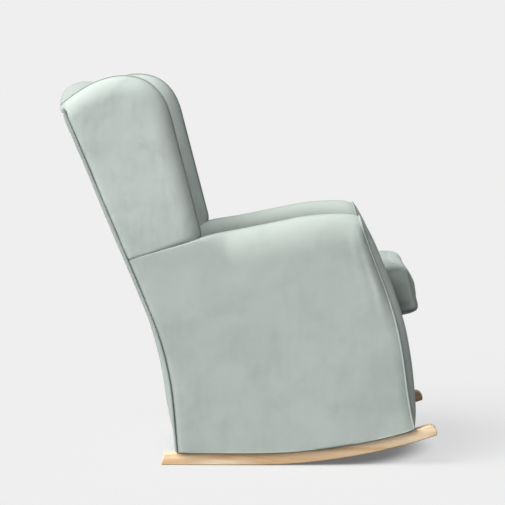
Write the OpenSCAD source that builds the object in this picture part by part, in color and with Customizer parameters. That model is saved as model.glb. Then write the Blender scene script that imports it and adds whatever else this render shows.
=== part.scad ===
// Upholstered wing chair on two bentwood runners, with a loose seat cushion.
// Frame: +Z up, the sitter looks along -Y, +X is on the sitter's left.
// The origin is on the floor under the middle of the chair's box.
// Side outlines are drawn as (f, z): f is the distance forward of the line
// where the runners' flat turns into the rocking arc, z is the height.

/* [Overall] */
// Width across the outer sides
chair_w = 700; // [640:5:860]
// Height from the floor to the top of the wings
chair_h = 1026; // [960:2:1240]

/* [Runners] */
// Length of the flat behind the rocking arc
flat_len = 237; // [190:1:290]
// Reach of the toe in front of the flat
toe_reach = 492; // [450:1:600]
// Radius of the rocking arc
rock_r = 1546; // [1250:2:2400]
// Height of a runner's section
runner_t = 31; // [24:0.5:42]
// Width of a runner
runner_w = 40; // [28:1:50]
// Distance that a runner stands in from the chair's side
runner_inset = 12; // [6:1:30]
// Shank radius of a runner bolt
bolt_r = 4; // [2.5:0.5:5]
// Head radius of a runner bolt
bolt_head_r = 8; // [6:0.5:10]
// Length of a runner bolt under its head
bolt_len = 52; // [40:1:62]
// Depth of the counterbore for a bolt head
bolt_sink = 9; // [6:0.5:14]

/* [Back] */
// Lean of the upper back from upright, in degrees
back_lean = 22.6; // [16:0.2:28]
// Lean of the rear foot from upright, in degrees
foot_lean = 5; // [0:0.5:9]
// Distance of the rear foot behind the rocking line
foot_back = 199; // [160:1:225]
// Height where the rear edge starts to bend
bend_low = 163; // [120:1:220]
// Height where the rear edge is straight again
bend_high = 413; // [340:1:480]
// Thickness of the back, measured level
back_t = 140; // [120:1:180]
// How far the outside back bulges in the middle
back_bulge = 28; // [0:1:45]
// Height of the arched roll above the back's frame, in the middle
back_roll_h = 81; // [50:1:120]
// Height of the arched roll above the back's frame, at the wings
back_roll_side_h = 42; // [25:1:70]

/* [Wings] */
// Height where the wing stands on the arm
shoulder_h = 603; // [540:1:680]
// Depth of the wing at the arm, measured level
wing_depth = 226; // [190:1:270]
// Lean of the wing's front edge, in degrees
wing_lean = 14.4; // [8:0.2:20]
// Thickness of a wing
wing_t = 70; // [62:1:90]
// Padding past the edge of the wing board
wing_roll = 30; // [18:1:40]
// Thickness of the wing board
wing_board_t = 15; // [12:0.5:18]

/* [Arms] */
// Thickness of an arm
arm_t = 107; // [100:1:130]
// Rise of the arm's crest for each unit forward
arm_slope = 0.2; // [0.1:0.01:0.3]
// Fall of the seam under the wing for each unit back
wing_seam_slope = 0.3; // [0.1:0.01:0.4]
// Distance forward where the crest starts to level off
arm_turn = 118; // [60:1:160]
// Slope of the crest at the arm's front corner
arm_tip_slope = -0.12; // [-0.3:0.01:0]
// Distance forward of the arm's top front corner
arm_top_f = 287; // [240:1:340]
// Distance forward of the arm's bottom front corner
arm_foot_f = 434; // [390:1:446]
// Swell of the arm's front edge past a straight line
arm_swell = 23; // [0:1:40]
// Thickness of the padding on top of the arm
arm_pad_t = 45; // [30:1:50]
// Dome of the arm's padded front panel
front_dome = 18; // [8:1:26]

/* [Seat] */
// Slope of the seat, front up, in degrees
seat_slope = 15; // [8:0.5:18]
// Distance forward of the cushion's bottom front edge
cushion_front_f = 452; // [430:1:480]
// Height of the cushion's bottom front edge
cushion_front_z = 408; // [380:1:440]
// Thickness of the cushion
cushion_t = 130; // [90:1:150]
// Clearance between the cushion and the arms or the back
cushion_gap = 3; // [1:0.5:8]
// Radius of the cushion's upper front edge
cushion_nose_r = 38; // [20:1:42]
// Radius of the cushion's other edges
cushion_edge_r = 14; // [8:1:20]
// Thickness of the cushion's cover with its wadding
cushion_skin = 5; // [3:0.5:8]
// Length of the cushion's zip
zip_len = 420; // [340:5:460]

/* [Frame] */
// Width of the posts and side rails
frame_t = 45; // [36:1:50]
// Depth of the posts and rails seen from the side
rail_d = 50; // [40:1:60]
// Thickness of the outer covers with their wadding
cover_t = 15; // [10:1:20]
// Thickness of the boards between the side frames
board_t = 28; // [20:1:34]
// Number of zigzag springs
spring_count = 5; // [3:1:7]
// Width of the elastic webbing
web_w = 60; // [40:1:80]

/* [Piping] */
// Diameter of the piping down the rear corners
rear_pipe_d = 8; // [5:0.5:10]
// Diameter of the piping round the arm fronts
front_pipe_d = 6; // [4:0.5:8]

/* [Hidden] */
// Steps along a curved edge, and along each corner of a section
n_edge = 16;
n_arc = 6;
// Gap under the covers and between pieces that lie close
hem_gap = 3;
slip = 0.3;
// Thickness of the dust cover and of the elastic webbing
sheet_t = 2;
// Thickness of the seat deck with its wadding
deck_t = 14;
// Size of the zigzag springs' wire and of their clips
wire_d = 3.5;
clip_w = 18;
clip_h = 12;
// Sizes of the zip's tape and slider
zip_h = 28;
zip_t = 2;
slider_w = 9;
slider_h = 14;
slider_t = 5;
// Radius of the runner's toe
toe_r = 20;
// Distance from the wings' top down to the top of the posts
post_drop = 100;
// Gap in front of the piping at the edges of the side and inner arm panels
panel_front = 10;
// Tee nut: barrel and flange
nut_r = 6;
nut_flange_r = 11;
nut_flange_t = 2;

half_w = chair_w / 2;
frame_out = half_w - cover_t;
frame_in = frame_out - frame_t;
arm_in = half_w - arm_t;
wing_in = half_w - wing_t;
runner_x = half_w - runner_inset - runner_w;
post_h = chair_h - post_drop;
tan_lean = tan(back_lean);
tan_foot = tan(foot_lean);

// Height at f of the line that lies h above the runner's underside, and of the runner's top
function above_sole(f, h) = rock_r - sqrt(pow(rock_r - h, 2) - pow(max(f, 0), 2));
function runner_top(f) = above_sole(f, runner_t);

// The rear edge: an upright foot, a bend, then the straight lean of the back
bend_span = bend_high - bend_low;
foot_z = runner_t;
bend_low_f = -foot_back - tan_foot * (bend_low - foot_z);
bend_high_f = bend_low_f - (tan_foot + tan_lean) * bend_span / 2;
function rear_f(z) =
    z < bend_low ? -foot_back - tan_foot * (z - foot_z)
    : z < bend_high ? bend_low_f - tan_foot * (z - bend_low)
        - (tan_lean - tan_foot) * pow(z - bend_low, 2) / (2 * bend_span)
    : bend_high_f - tan_lean * (z - bend_high);

// The arm's crest, and the seam that runs back from it under the wing
wing_f = rear_f(shoulder_h) + wing_depth;
turn_span = arm_top_f - arm_turn;
function crest_z(f) =
    shoulder_h + arm_slope * (min(f, arm_turn) - wing_f)
    + (f > arm_turn ? arm_slope * (f - arm_turn)
        + (arm_tip_slope - arm_slope) * pow(f - arm_turn, 2) / (2 * turn_span) : 0);
function arm_z(f) = crest_z(f) - arm_pad_t;
function seam_z(f) = shoulder_h + wing_seam_slope * (f - wing_f);
// Height where that seam meets a line a given distance in front of the rear edge
function seam_end_z(off) =
    (shoulder_h + wing_seam_slope * (bend_high_f + tan_lean * bend_high + off - wing_f))
    / (1 + wing_seam_slope * tan_lean);
function arm_end_z(off) =
    (shoulder_h - arm_pad_t + arm_slope * (bend_high_f + tan_lean * bend_high + off - wing_f))
    / (1 + arm_slope * tan_lean);

// The front edge of the arm
arm_foot_z = runner_top(arm_foot_f) + hem_gap;
arm_top_z = crest_z(arm_top_f);
function front_t(z) = (z - arm_foot_z) / (arm_top_z - arm_foot_z);
function front_f(z) = arm_foot_f + (arm_top_f - arm_foot_f) * front_t(z)
    + arm_swell * pow(sin(180 * front_t(z)), 2);
function dome_f(z) = front_f(z) + front_dome * (1 - pow(2 * front_t(z) - 1, 6));

// The seat deck: the plane that the cushion lies on
tan_seat = tan(seat_slope);
function deck_z(f) = cushion_front_z + (f - cushion_front_f) * tan_seat;
function inner_f(z) = rear_f(z) + back_t;
// Where the deck's plane meets a line beside the rear or the front edge, by repeated substitution
function deck_meets_rear(off, z = 300, n = 12) =
    n == 0 ? rear_f(z) + off : deck_meets_rear(off, deck_z(rear_f(z) + off), n - 1);
function deck_meets_front(off, z = 400, n = 12) =
    n == 0 ? front_f(z) + off : deck_meets_front(off, deck_z(front_f(z) + off), n - 1);
deck_rear_f = deck_meets_rear(back_t);
cushion_w = 2 * (arm_in - cushion_gap);
// The cushion's length ends where its upper rear edge would meet the inner back
cushion_top_z = deck_z(deck_rear_f) + cushion_t * cos(seat_slope);
cushion_rear_f = max(inner_f(cushion_top_z) + cushion_t * sin(seat_slope), deck_rear_f)
    + 3 * cushion_gap;
cushion_len = (cushion_front_f - cushion_rear_f) / cos(seat_slope);

// The chair's box, which the origin is centred on
rear_most_f = rear_f(post_h) - back_bulge;
mid_f = (toe_reach + rear_most_f) / 2;

function steps(a, b, n) = [for (i = [0 : n]) a + (b - a) * i / n];
function arc(cx, cy, r, a0, a1) =
    [for (a = steps(a0, a1, n_arc)) [cx + r * cos(a), cy + r * sin(a)]];
function bezier(p0, p1, p2, p3) = [for (t = steps(0, 1, n_edge / 2))
    pow(1 - t, 3) * p0 + 3 * t * pow(1 - t, 2) * p1 + 3 * t * t * (1 - t) * p2 + t * t * t * p3];
// The runner's top, lifted by a gap, from one f to another
function over_runner(a, b, gap) = [for (f = steps(a, b, n_edge)) [f, above_sole(f, runner_t + gap)]];
// The rear edge from one height to another, moved forward by a distance
function rear_line(z0, z1, off) = [for (z = steps(z0, z1, n_edge)) [rear_f(z) + off, z]];
function front_line(z0, z1, off) = [for (z = steps(z0, z1, n_edge)) [front_f(z) + off, z]];

// The wing's outline from its lower front corner to its upper rear corner,
// drawn in by a distance
wing_corner = 108;
wing_top_back = 197;
wing_rear_drop = 76;
function wing_front_f(z) = wing_f - tan(wing_lean) * (z - shoulder_h);
function wing_line(inset) =
    let (z0 = chair_h - wing_corner,
         top = chair_h - inset,
         top_f = rear_f(chair_h) + wing_top_back - inset / 2,
         rear_z = chair_h - wing_rear_drop - inset / 3,
         side = [wing_front_f(z0) - inset, z0],
         rear = [rear_f(rear_z), rear_z])
    concat(
        bezier(side, side + [-0.18 * wing_corner, 0.7 * wing_corner],
               [top_f + 0.55 * wing_corner, top], [top_f, top]),
        bezier([top_f, top], [top_f - 0.55 * wing_corner, top],
               rear + [0.42 * wing_corner, 0.36 * wing_corner], rear));

// Draws a side outline between two distances from the chair's middle plane
module side_slab(x0, x1) {
    translate([x1, mid_f, 0])
        rotate([90, 0, -90])
            linear_extrude(x1 - x0)
                children();
}

// The sitter's left side as drawn, the right side mirrored
module right() {
    mirror([1, 0, 0])
        children();
}

// Joins a row of rings of equal length into one closed solid
module loft(rings) {
    n = len(rings[0]);
    last = len(rings) - 1;
    sides = [for (i = [0 : last - 1])
        for (j = [0 : n - 1])
            let (k = (j + 1) % n)
            each [[i * n + j, i * n + k, (i + 1) * n + k],
                  [i * n + j, (i + 1) * n + k, (i + 1) * n + j]]];
    ends = [[for (j = [n - 1 : -1 : 0]) j], [for (j = [0 : n - 1]) last * n + j]];
    polyhedron([for (ring = rings) each ring], concat(sides, ends), convexity = 6);
}

// A round piping along points given as (x, f, z), its sections square to x or to z
module piping(path, d) {
    rings = [for (i = [0 : len(path) - 1])
        let (a = path[max(i - 1, 0)],
             b = path[min(i + 1, len(path) - 1)],
             way = (b - a) / norm(b - a),
             side = cross(way, [0, 1, 0]) / norm(cross(way, [0, 1, 0])),
             up = cross(side, way))
        [for (q = [0 : 7]) path[i] + d / 2 * (cos(45 * q) * side + sin(45 * q) * up)]];
    loft([for (ring = rings) [for (p = ring) [p[0], mid_f - p[1], p[2]]]]);
}

// Runners

// The bolts stand square to the runner, clear of the posts' feet
bolt_rear_f = rear_f(foot_z) + cover_t + rail_d + 3 * nut_flange_r;
bolt_front_f = arm_foot_f - cover_t - rail_d - 3 * nut_flange_r;
bolt_places = [bolt_rear_f, (bolt_rear_f + bolt_front_f) / 2, bolt_front_f];

module bolt_row(r, z0, z1) {
    for (f = bolt_places)
        translate([runner_x + runner_w / 2, mid_f - min(f, 0), rock_r])
            rotate([-asin(max(f, 0) / rock_r), 0, 0])
                translate([0, 0, z0 - rock_r])
                    cylinder(r = r, h = z1 - z0, $fn = 32);
}

module runner_blank() {
    translate([-flat_len, 0])
        square([flat_len, runner_t]);
    intersection() {
        translate([0, rock_r])
            difference() {
                circle(r = rock_r, $fn = 360);
                circle(r = rock_r - runner_t, $fn = 360);
            }
        square([toe_reach, rock_r / 2]);
    }
}

module runner_left() {
    top = runner_top(toe_reach - toe_r);
    color("#deb98c")
        difference() {
            side_slab(runner_x, runner_x + runner_w)
                difference() {
                    runner_blank();
                    // heel cut back a little towards the top
                    polygon([[-flat_len - 1, -1], [-flat_len, 0],
                             [-flat_len + runner_t / 4, runner_t], [-flat_len - 1, runner_t + 1]]);
                    // toe rounded over
                    difference() {
                        translate([toe_reach - toe_r, top - toe_r])
                            square([toe_r + 1, 2 * toe_r]);
                        translate([toe_reach - toe_r, top - toe_r])
                            circle(r = toe_r, $fn = 64);
                    }
                }
            bolt_row(bolt_r + slip, -runner_t, 2 * runner_t);
            bolt_row(bolt_head_r + slip, -runner_t, bolt_sink);
        }
}
module runner_right() {
    right() runner_left();
}

module bolts_of_a_side() {
    bolt_row(bolt_r, bolt_sink, bolt_sink + bolt_len);
    bolt_row(bolt_head_r, bolt_sink - bolt_r, bolt_sink);
}
module runner_bolts() {
    color("silver") {
        bolts_of_a_side();
        right() bolts_of_a_side();
    }
}

// The tee nuts sit in the tops of the base rails
nut_top = runner_t + rail_d;
module nuts_of_a_side() {
    difference() {
        union() {
            bolt_row(nut_r, nut_top - 3 * bolt_r, nut_top + slip);
            bolt_row(nut_flange_r, nut_top + slip, nut_top + slip + nut_flange_t);
        }
        bolt_row(bolt_r + slip, 0, nut_top + 2 * nut_flange_t);
    }
}
module runner_tee_nuts() {
    color("silver") {
        nuts_of_a_side();
        right() nuts_of_a_side();
    }
}

// Side frames

base_rear_f = rear_f(foot_z) + cover_t;
base_front_f = front_f(arm_foot_z + rail_d) - cover_t;
module base_rail_left() {
    color("#d8c39a")
        difference() {
            side_slab(frame_in, frame_out)
                polygon(concat(
                    over_runner(base_rear_f, base_front_f, slip),
                    over_runner(base_front_f, base_rear_f, rail_d)));
            bolt_row(bolt_r + slip, 0, nut_top + 1);
            bolt_row(nut_r + slip, nut_top - 3 * bolt_r, nut_top + 1);
        }
}
module base_rail_right() {
    right() base_rail_left();
}

// Posts stand on the base rails
post_rear = cover_t;
module rear_post_left() {
    z0 = runner_t + rail_d + slip;
    color("#d8c39a")
        side_slab(frame_in, frame_out)
            polygon(concat(
                rear_line(z0, post_h, post_rear),
                rear_line(post_h, z0, post_rear + rail_d)));
}
module rear_post_right() {
    right() rear_post_left();
}

module front_post_left() {
    z0 = above_sole(base_front_f, runner_t + rail_d) + slip;
    z1 = arm_z(arm_top_f) - rail_d - slip;
    color("#d8c39a")
        side_slab(frame_in, frame_out)
            polygon(concat(
                front_line(z0, z1, -cover_t),
                front_line(z1, z0, -cover_t - rail_d)));
}
module front_post_right() {
    right() front_post_left();
}

module arm_rail_left() {
    // from the webbing on the rear post to the arm's front, on top of the front post
    f0 = rear_f(arm_end_z(pad_rear)) + pad_rear;
    f1 = front_f(arm_z(arm_top_f)) - cover_t;
    color("#d8c39a")
        side_slab(frame_in, frame_out)
            polygon(concat(
                [for (f = steps(f0, f1, n_edge)) [f, arm_z(f) - slip]],
                [for (f = steps(f1, f0 + rail_d * tan_lean, n_edge)) [f, arm_z(f) - rail_d]]));
}
module arm_rail_right() {
    right() arm_rail_left();
}

// The seat's own rails lie under the deck
seat_rail_rear_f = inner_f(deck_z(deck_rear_f)) - board_t;
seat_rail_front_f = deck_meets_front(-cover_t - board_t);
function under_deck(f, drop) = deck_z(f) - deck_t - drop;
module seat_side_rail_left() {
    f0 = seat_rail_rear_f;
    f1 = seat_rail_front_f - slip;
    color("#d8c39a")
        side_slab(frame_in - board_t, frame_in)
            polygon([[f0, under_deck(f0, 0)], [f1, under_deck(f1, 0)],
                     [f1, under_deck(f1, 1.4 * rail_d)], [f0, under_deck(f0, 1.4 * rail_d)]]);
}
module seat_side_rail_right() {
    right() seat_side_rail_left();
}

module wing_board_left() {
    off = post_rear + rail_d + slip;
    z0 = arm_end_z(off);
    z1 = chair_h - wing_corner;
    f0 = rear_f(z0) + off;
    f1 = wing_f - wing_roll;
    color("#d8c39a")
        side_slab(frame_out - wing_board_t, frame_out)
            polygon(concat(
                [[f0, z0], [f1, arm_z(f1)], [wing_front_f(z1) - wing_roll, z1],
                 [wing_front_f(z1) - 2 * wing_roll, post_h]],
                [[rear_f(post_h) + off, post_h]]));
}
module wing_board_right() {
    right() wing_board_left();
}

// Cross pieces between the side frames

module cross_board(outline, reach) {
    color("#d8c39a")
        side_slab(-reach, reach)
            polygon(outline);
}

module front_seat_rail() {
    f = seat_rail_front_f;
    cross_board([[f, under_deck(f, 1.6 * rail_d)], [f + board_t, under_deck(f, 1.6 * rail_d)],
                 [f + board_t, under_deck(f + board_t, 0)], [f, under_deck(f, 0)]], frame_in);
}

module rear_seat_rail() {
    f = seat_rail_rear_f;
    cross_board([[f - board_t, under_deck(f, 1.4 * rail_d)], [f, under_deck(f, 1.4 * rail_d)],
                 [f, under_deck(f, 0)], [f - board_t, under_deck(f - board_t, 0)]], frame_in);
}

module front_base_rail() {
    f1 = base_front_f - slip;
    f0 = f1 - board_t;
    z0 = runner_top(f1) + hem_gap;
    cross_board([[f0, z0], [f1, z0], [f1, z0 + rail_d], [f0, z0 + rail_d]], frame_in);
}

module rear_base_rail() {
    f0 = base_rear_f + tan_foot;
    z0 = foot_z + hem_gap;
    cross_board([[f0, z0], [f0 + board_t, z0], [f0 + board_t, z0 + rail_d], [f0, z0 + rail_d]],
                frame_in);
}

// A board across the back, lying along its lean with its lower edge at z
module back_board(z, h) {
    cross_board(concat(
        [for (q = [z, z + h]) [rear_f(q) + post_rear + rail_d - board_t, q]],
        [for (q = [z + h, z]) [rear_f(q) + post_rear + rail_d, q]]), frame_in);
}
module back_top_rail() {
    back_board(post_h - 1.5 * rail_d, 1.5 * rail_d);
}
module lumbar_rail() {
    back_board(bend_high + rail_d, rail_d);
}

// Triangular blocks glued in the four corners of the seat frame
block = 46;
module corner_blocks() {
    x = frame_in - board_t;
    color("#cdb486")
        for (side = [0, 1])
            mirror([side, 0, 0])
                for (end = [[seat_rail_rear_f, 1], [seat_rail_front_f, -1]])
                    translate([0, mid_f, under_deck(end[0], 1.3 * rail_d)])
                        linear_extrude(rail_d / 2)
                            polygon([[x, -end[0]],
                                     [x - block, -end[0]],
                                     [x, -end[0] - end[1] * block]]);
}

// Springing

// One zigzag spring lying flat, as a band of wire along +X
spring_wave = 24;
spring_half = 26;
module zigzag(len) {
    count = floor(len / spring_wave);
    pitch = len / count;
    r = pitch / 2;
    for (i = [0 : count - 1]) {
        up = i % 2 == 0 ? 1 : -1;
        translate([i * pitch - wire_d / 2, -spring_half + r])
            square([wire_d, 2 * (spring_half - r)]);
        translate([(i + 0.5) * pitch, up * (spring_half - r)])
            intersection() {
                difference() {
                    circle(r = r + wire_d / 2, $fn = 24);
                    circle(r = r - wire_d / 2, $fn = 24);
                }
                translate([-pitch, up > 0 ? 0 : -pitch])
                    square([2 * pitch, pitch]);
            }
    }
    translate([len - wire_d / 2, -spring_half + r])
        square([wire_d, 2 * (spring_half - r)]);
}

spring_xs = [for (i = [0 : spring_count - 1])
    (frame_in - board_t - spring_half - wire_d) * (2 * i / (spring_count - 1) - 1)
    * (spring_count - 1) / (spring_count)];
spring_f0 = seat_rail_rear_f + clip_w / 2 + 3 * slip;
spring_f1 = seat_rail_front_f - clip_w / 2 - 3 * slip;
spring_drop = wire_d + clip_h / 2;
module on_springs(f) {
    for (x = spring_xs)
        translate([x, mid_f - f, under_deck(f, spring_drop)])
            rotate([-seat_slope, 0, 0])
                rotate([0, 0, -90])
                    children();
}
module seat_springs() {
    color("#8a8f94")
        on_springs(spring_f0)
            linear_extrude(wire_d)
                zigzag((spring_f1 - spring_f0) / cos(seat_slope));
}

// Clips hold the springs' end bars to the seat rails
module spring_clips() {
    color("#8a8f94")
        for (end = [[spring_f0, -1], [spring_f1, 1]])
            on_springs(end[0])
                difference() {
                    translate([end[1] > 0 ? -wire_d : -clip_w / 2, -clip_w / 2, -clip_h / 4])
                        cube([clip_w / 2 + wire_d, clip_w, clip_h / 2 + wire_d / 2]);
                    translate([-wire_d / 2 - slip, -clip_w, -slip])
                        cube([wire_d + 2 * slip, 2 * clip_w, wire_d + 2 * slip]);
                }
}

// Elastic webbing across the back, stapled to the front of the posts
web_count = 5;
module back_webbing() {
    off = post_rear + rail_d + slip;
    reach = frame_in + frame_t / 3;
    z0 = bend_high;
    z1 = post_h - web_w;
    color("#d9d6cc")
        for (z = steps(z0, z1, web_count - 1))
            side_slab(-reach, reach)
                polygon(concat(
                    [for (q = [z, z + web_w]) [rear_f(q) + off, q]],
                    [for (q = [z + web_w, z]) [rear_f(q) + off + sheet_t, q]]));
}

// Upholstery

pad_rear = post_rear + rail_d + sheet_t + 3 * slip;

// The outer side panel, from the runner to the arm and the wing's seam
module side_cover_left() {
    z_rear = seam_end_z(rear_pipe_d);
    z_low = runner_top(0) + hem_gap;
    color("#b0bab5")
        side_slab(frame_out, half_w)
            polygon(concat(
                over_runner(rear_f(z_low) + rear_pipe_d, front_f(arm_foot_z) - panel_front, hem_gap),
                front_line(arm_foot_z + 1, arm_z(arm_top_f), -panel_front),
                [for (f = steps(arm_top_f - panel_front, wing_f, n_edge)) [f, arm_z(f) - slip]],
                [[wing_f, shoulder_h - slip]],
                rear_line(z_rear, z_low + 1, rear_pipe_d)));
}
module side_cover_right() {
    right() side_cover_left();
}

module inner_arm_pad_left() {
    color("#aab4af")
        side_slab(arm_in, frame_in)
            polygon(concat(
                rear_line(seam_end_z(pad_rear), deck_z(deck_meets_rear(pad_rear)), pad_rear),
                front_line(deck_z(deck_meets_front(-panel_front)), arm_z(arm_top_f), -panel_front),
                [for (f = steps(arm_top_f - panel_front, wing_f, n_edge)) [f, arm_z(f) - slip]],
                [[wing_f, shoulder_h - slip]]));
}
module inner_arm_pad_right() {
    right() inner_arm_pad_left();
}

// The roll on the arm: one section carried along the crest
module arm_top_pad_left() {
    r = arm_pad_t;
    section = concat([[arm_in, -arm_pad_t]], [[half_w, -arm_pad_t]],
                     arc(half_w - r, -r, r, 8, 90), arc(arm_in + r, -r, r, 90, 172));
    color("#c2ccc7")
        loft([for (f = steps(arm_top_f - panel_front, wing_f, n_edge))
            [for (p = section) [p[0], mid_f - f, crest_z(f) + p[1]]]]);
}
module arm_top_pad_right() {
    right() arm_top_pad_left();
}

module arm_front_pad_left() {
    x0 = arm_in + front_pipe_d;
    x1 = half_w - front_pipe_d;
    z1 = arm_top_z - front_pipe_d;
    r = arm_pad_t - front_pipe_d;
    color("#bcc6c1")
        intersection() {
            side_slab(x0, x1)
                polygon(concat(
                    [for (z = steps(arm_foot_z, z1, n_edge)) [dome_f(z), z]],
                    front_line(z1, arm_foot_z, slip - panel_front)));
            translate([0, chair_h, 0])
                rotate([90, 0, 0])
                    linear_extrude(2 * chair_h)
                        polygon(concat([[x0, 0], [x1, 0]],
                                       arc(x1 - r, z1 - r, r, 0, 90), arc(x0 + r, z1 - r, r, 90, 180)));
        }
}
module arm_front_pad_right() {
    right() arm_front_pad_left();
}

// The piping up the outer edge of the arm's front, across its top and down inside
module arm_front_piping_left() {
    r = front_pipe_d / 2;
    low = arm_foot_z + r;
    top = arm_top_z - r;
    z_deck = deck_z(deck_meets_front(0)) + front_pipe_d;
    turn = arm_pad_t - r;
    path = concat(
        [for (z = steps(low, top - turn, n_edge)) [half_w - r, front_f(z) - r, z]],
        [for (a = steps(0, 90, n_arc)) let (z = top - turn + turn * sin(a))
            [half_w - r - turn + turn * cos(a), front_f(z) - r, z]],
        [for (a = steps(90, 180, n_arc)) let (z = top - turn + turn * sin(a))
            [arm_in + r + turn + turn * cos(a), front_f(z) - r, z]],
        [for (z = steps(top - turn, z_deck, n_edge)) [arm_in + r, front_f(z) - r, z]]);
    color("#aeb8b3")
        piping([for (i = [0 : len(path) - 1]) if (i == 0 || norm(path[i] - path[i - 1]) > 1) path[i]],
               front_pipe_d);
}
module arm_front_piping_right() {
    right() arm_front_piping_left();
}

// Wings: an outer cover, a board and an inner pad that rolls over the board's edge
module wing_cover_left() {
    z_rear = seam_end_z(rear_pipe_d);
    color("#b6c0bb")
        side_slab(frame_out, half_w)
            polygon(concat(
                [[wing_f, shoulder_h]],
                wing_line(0),
                [[rear_f(chair_h - wing_rear_drop) + rear_pipe_d, chair_h - wing_rear_drop - 1],
                 [rear_f(z_rear) + rear_pipe_d, z_rear + slip]]));
}
module wing_cover_right() {
    right() wing_cover_left();
}

module wing_pad_left() {
    z_rear = seam_end_z(pad_rear);
    off = post_rear + rail_d;
    z0 = arm_end_z(off);
    z1 = chair_h - wing_corner;
    color("#b6c0bb")
        difference() {
            side_slab(wing_in, frame_out)
                polygon(concat(
                    [[wing_f, shoulder_h]],
                    wing_line(0),
                    [[rear_f(chair_h - wing_rear_drop) + cover_t, chair_h - wing_rear_drop - 1],
                     [rear_f(post_h) + cover_t, post_h + slip],
                     [rear_f(post_h) + pad_rear, post_h + slip],
                     [rear_f(z_rear) + pad_rear, z_rear + slip]]));
            side_slab(frame_out - wing_board_t - slip, frame_out + 1)
                polygon([[rear_f(z0) + off, z0 - rail_d],
                         [wing_f - wing_roll + slip, arm_z(wing_f) - rail_d],
                         [wing_f - wing_roll + slip, arm_z(wing_f - wing_roll)],
                         [wing_front_f(z1) - wing_roll + slip, z1],
                         [wing_front_f(z1) - 2 * wing_roll + slip, post_h + slip],
                         [rear_f(post_h) + off, post_h + slip]]);
        }
}
module wing_pad_right() {
    right() wing_pad_left();
}

// The inside back: narrow between the arms, wide between the wings
module inner_back_pad() {
    z0 = deck_z(deck_rear_f) - deck_t - slip;
    color("#b9c3be")
        intersection() {
            side_slab(-half_w, half_w)
                polygon(concat(rear_line(z0, post_h, pad_rear), rear_line(post_h, z0, back_t)));
            translate([0, chair_h, 0])
                rotate([90, 0, 0])
                    linear_extrude(2 * chair_h)
                        polygon([[-arm_in, 0], [arm_in, 0], [arm_in, shoulder_h], [wing_in, shoulder_h],
                                 [wing_in, chair_h], [-wing_in, chair_h], [-wing_in, shoulder_h],
                                 [-arm_in, shoulder_h]]);
        }
}

function bulge(x) = back_bulge * (1 - pow(x / half_w, 2));

// The arched roll along the top of the back
module back_top_pad() {
    front = rear_f(post_h) + back_t;
    color("#c6d0cb")
        loft([for (x = steps(-wing_in, wing_in, n_edge))
            let (rear = rear_f(post_h) - bulge(x),
                 high = back_roll_h - (back_roll_h - back_roll_side_h) * pow(x / wing_in, 2))
            [for (a = steps(180, 0, 2 * n_arc))
                [x, mid_f - (rear + front) / 2 - (front - rear) / 2 * cos(a)
                    + tan_lean * high * sin(a), post_h + slip + high * sin(a)]]]);
}

// The outside back, bulged in the middle
module back_cover() {
    z0 = runner_top(0) + hem_gap;
    reach = half_w - rear_pipe_d;
    behind_side = rear_pipe_d - 3 * slip;
    lap = behind_side / 4;
    color("#a9b3ae") {
        // the full outer face, as far forward as the side covers
        loft([for (z = steps(z0, post_h, n_edge))
            let (swell = min(1, (z - z0) / bend_low))
            concat(
                [for (x = steps(-reach, reach, n_edge)) [x, mid_f - rear_f(z) + swell * bulge(x), z]],
                [for (x = [reach, -reach]) [x, mid_f - rear_f(z) - behind_side, z]])]);
        // its inner part, between the side covers and up to the rear posts
        side_slab(-frame_out, frame_out)
            polygon(concat(
                rear_line(z0, post_h, behind_side - lap),
                rear_line(post_h, z0, cover_t - 3 * slip)));
    }
}

module rear_piping_left() {
    r = rear_pipe_d / 2;
    z0 = runner_t + hem_gap + r;
    z1 = chair_h - wing_rear_drop - rear_pipe_d;
    color("#a4aeaa")
        piping([for (z = steps(z0, z1, n_edge)) [half_w - r, rear_f(z) + r, z]],
               rear_pipe_d * cos(back_lean) - 3 * slip);
}
module rear_piping_right() {
    right() rear_piping_left();
}

// The panel that closes the chair between the arms, under the cushion
module front_apron() {
    z1 = deck_z(deck_meets_front(-cover_t)) - slip;
    color("#aab4af")
        side_slab(-arm_in, arm_in)
            polygon(concat(
                front_line(arm_foot_z, z1, 0),
                front_line(z1, arm_foot_z, slip - cover_t)));
}

module seat_deck() {
    f0 = inner_f(deck_z(deck_rear_f) - deck_t) + slip;
    f1 = deck_meets_front(-cover_t);
    color("#9aa39f")
        side_slab(-arm_in, arm_in)
            polygon([[f0, deck_z(f0) - slip], [f1, deck_z(f1) - slip],
                     [f1, deck_z(f1) - deck_t], [f0, deck_z(f0) - deck_t]]);
}

module dust_cover() {
    f0 = base_rear_f + slip;
    f1 = base_front_f - slip;
    x = frame_in - slip;
    color("#3b3d3f")
        side_slab(-x, x)
            polygon(concat(over_runner(f0, f1, 0), over_runner(f1, f0, sheet_t)));
}

// Seat cushion

// The cushion's side outline, front edge at the right, drawn in by a distance
function cushion_outline(inset) =
    let (a = inset, b = cushion_len - inset, c = cushion_t - inset,
         e = cushion_edge_r - inset, nose = cushion_nose_r - inset)
    concat(arc(a + e, a + e, e, 180, 270), arc(b - e, a + e, e, 270, 360),
           arc(b - nose, c - nose, nose, 0, 90), arc(a + e, c - e, e, 90, 180));

// Places a piece drawn along the deck: x along the slope from the cushion's rear edge
module on_deck() {
    translate([0, mid_f - cushion_rear_f, deck_z(cushion_rear_f) + slip])
        rotate([-seat_slope, 0, 0])
            rotate([90, 0, -90])
                children();
}

module cushion_cover() {
    color("#bfc9c4")
        on_deck()
            difference() {
                translate([0, 0, -cushion_w / 2])
                    linear_extrude(cushion_w)
                        polygon(cushion_outline(0));
                translate([0, 0, cushion_skin - cushion_w / 2])
                    linear_extrude(cushion_w - 2 * cushion_skin)
                        polygon(cushion_outline(cushion_skin));
            }
}

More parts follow.
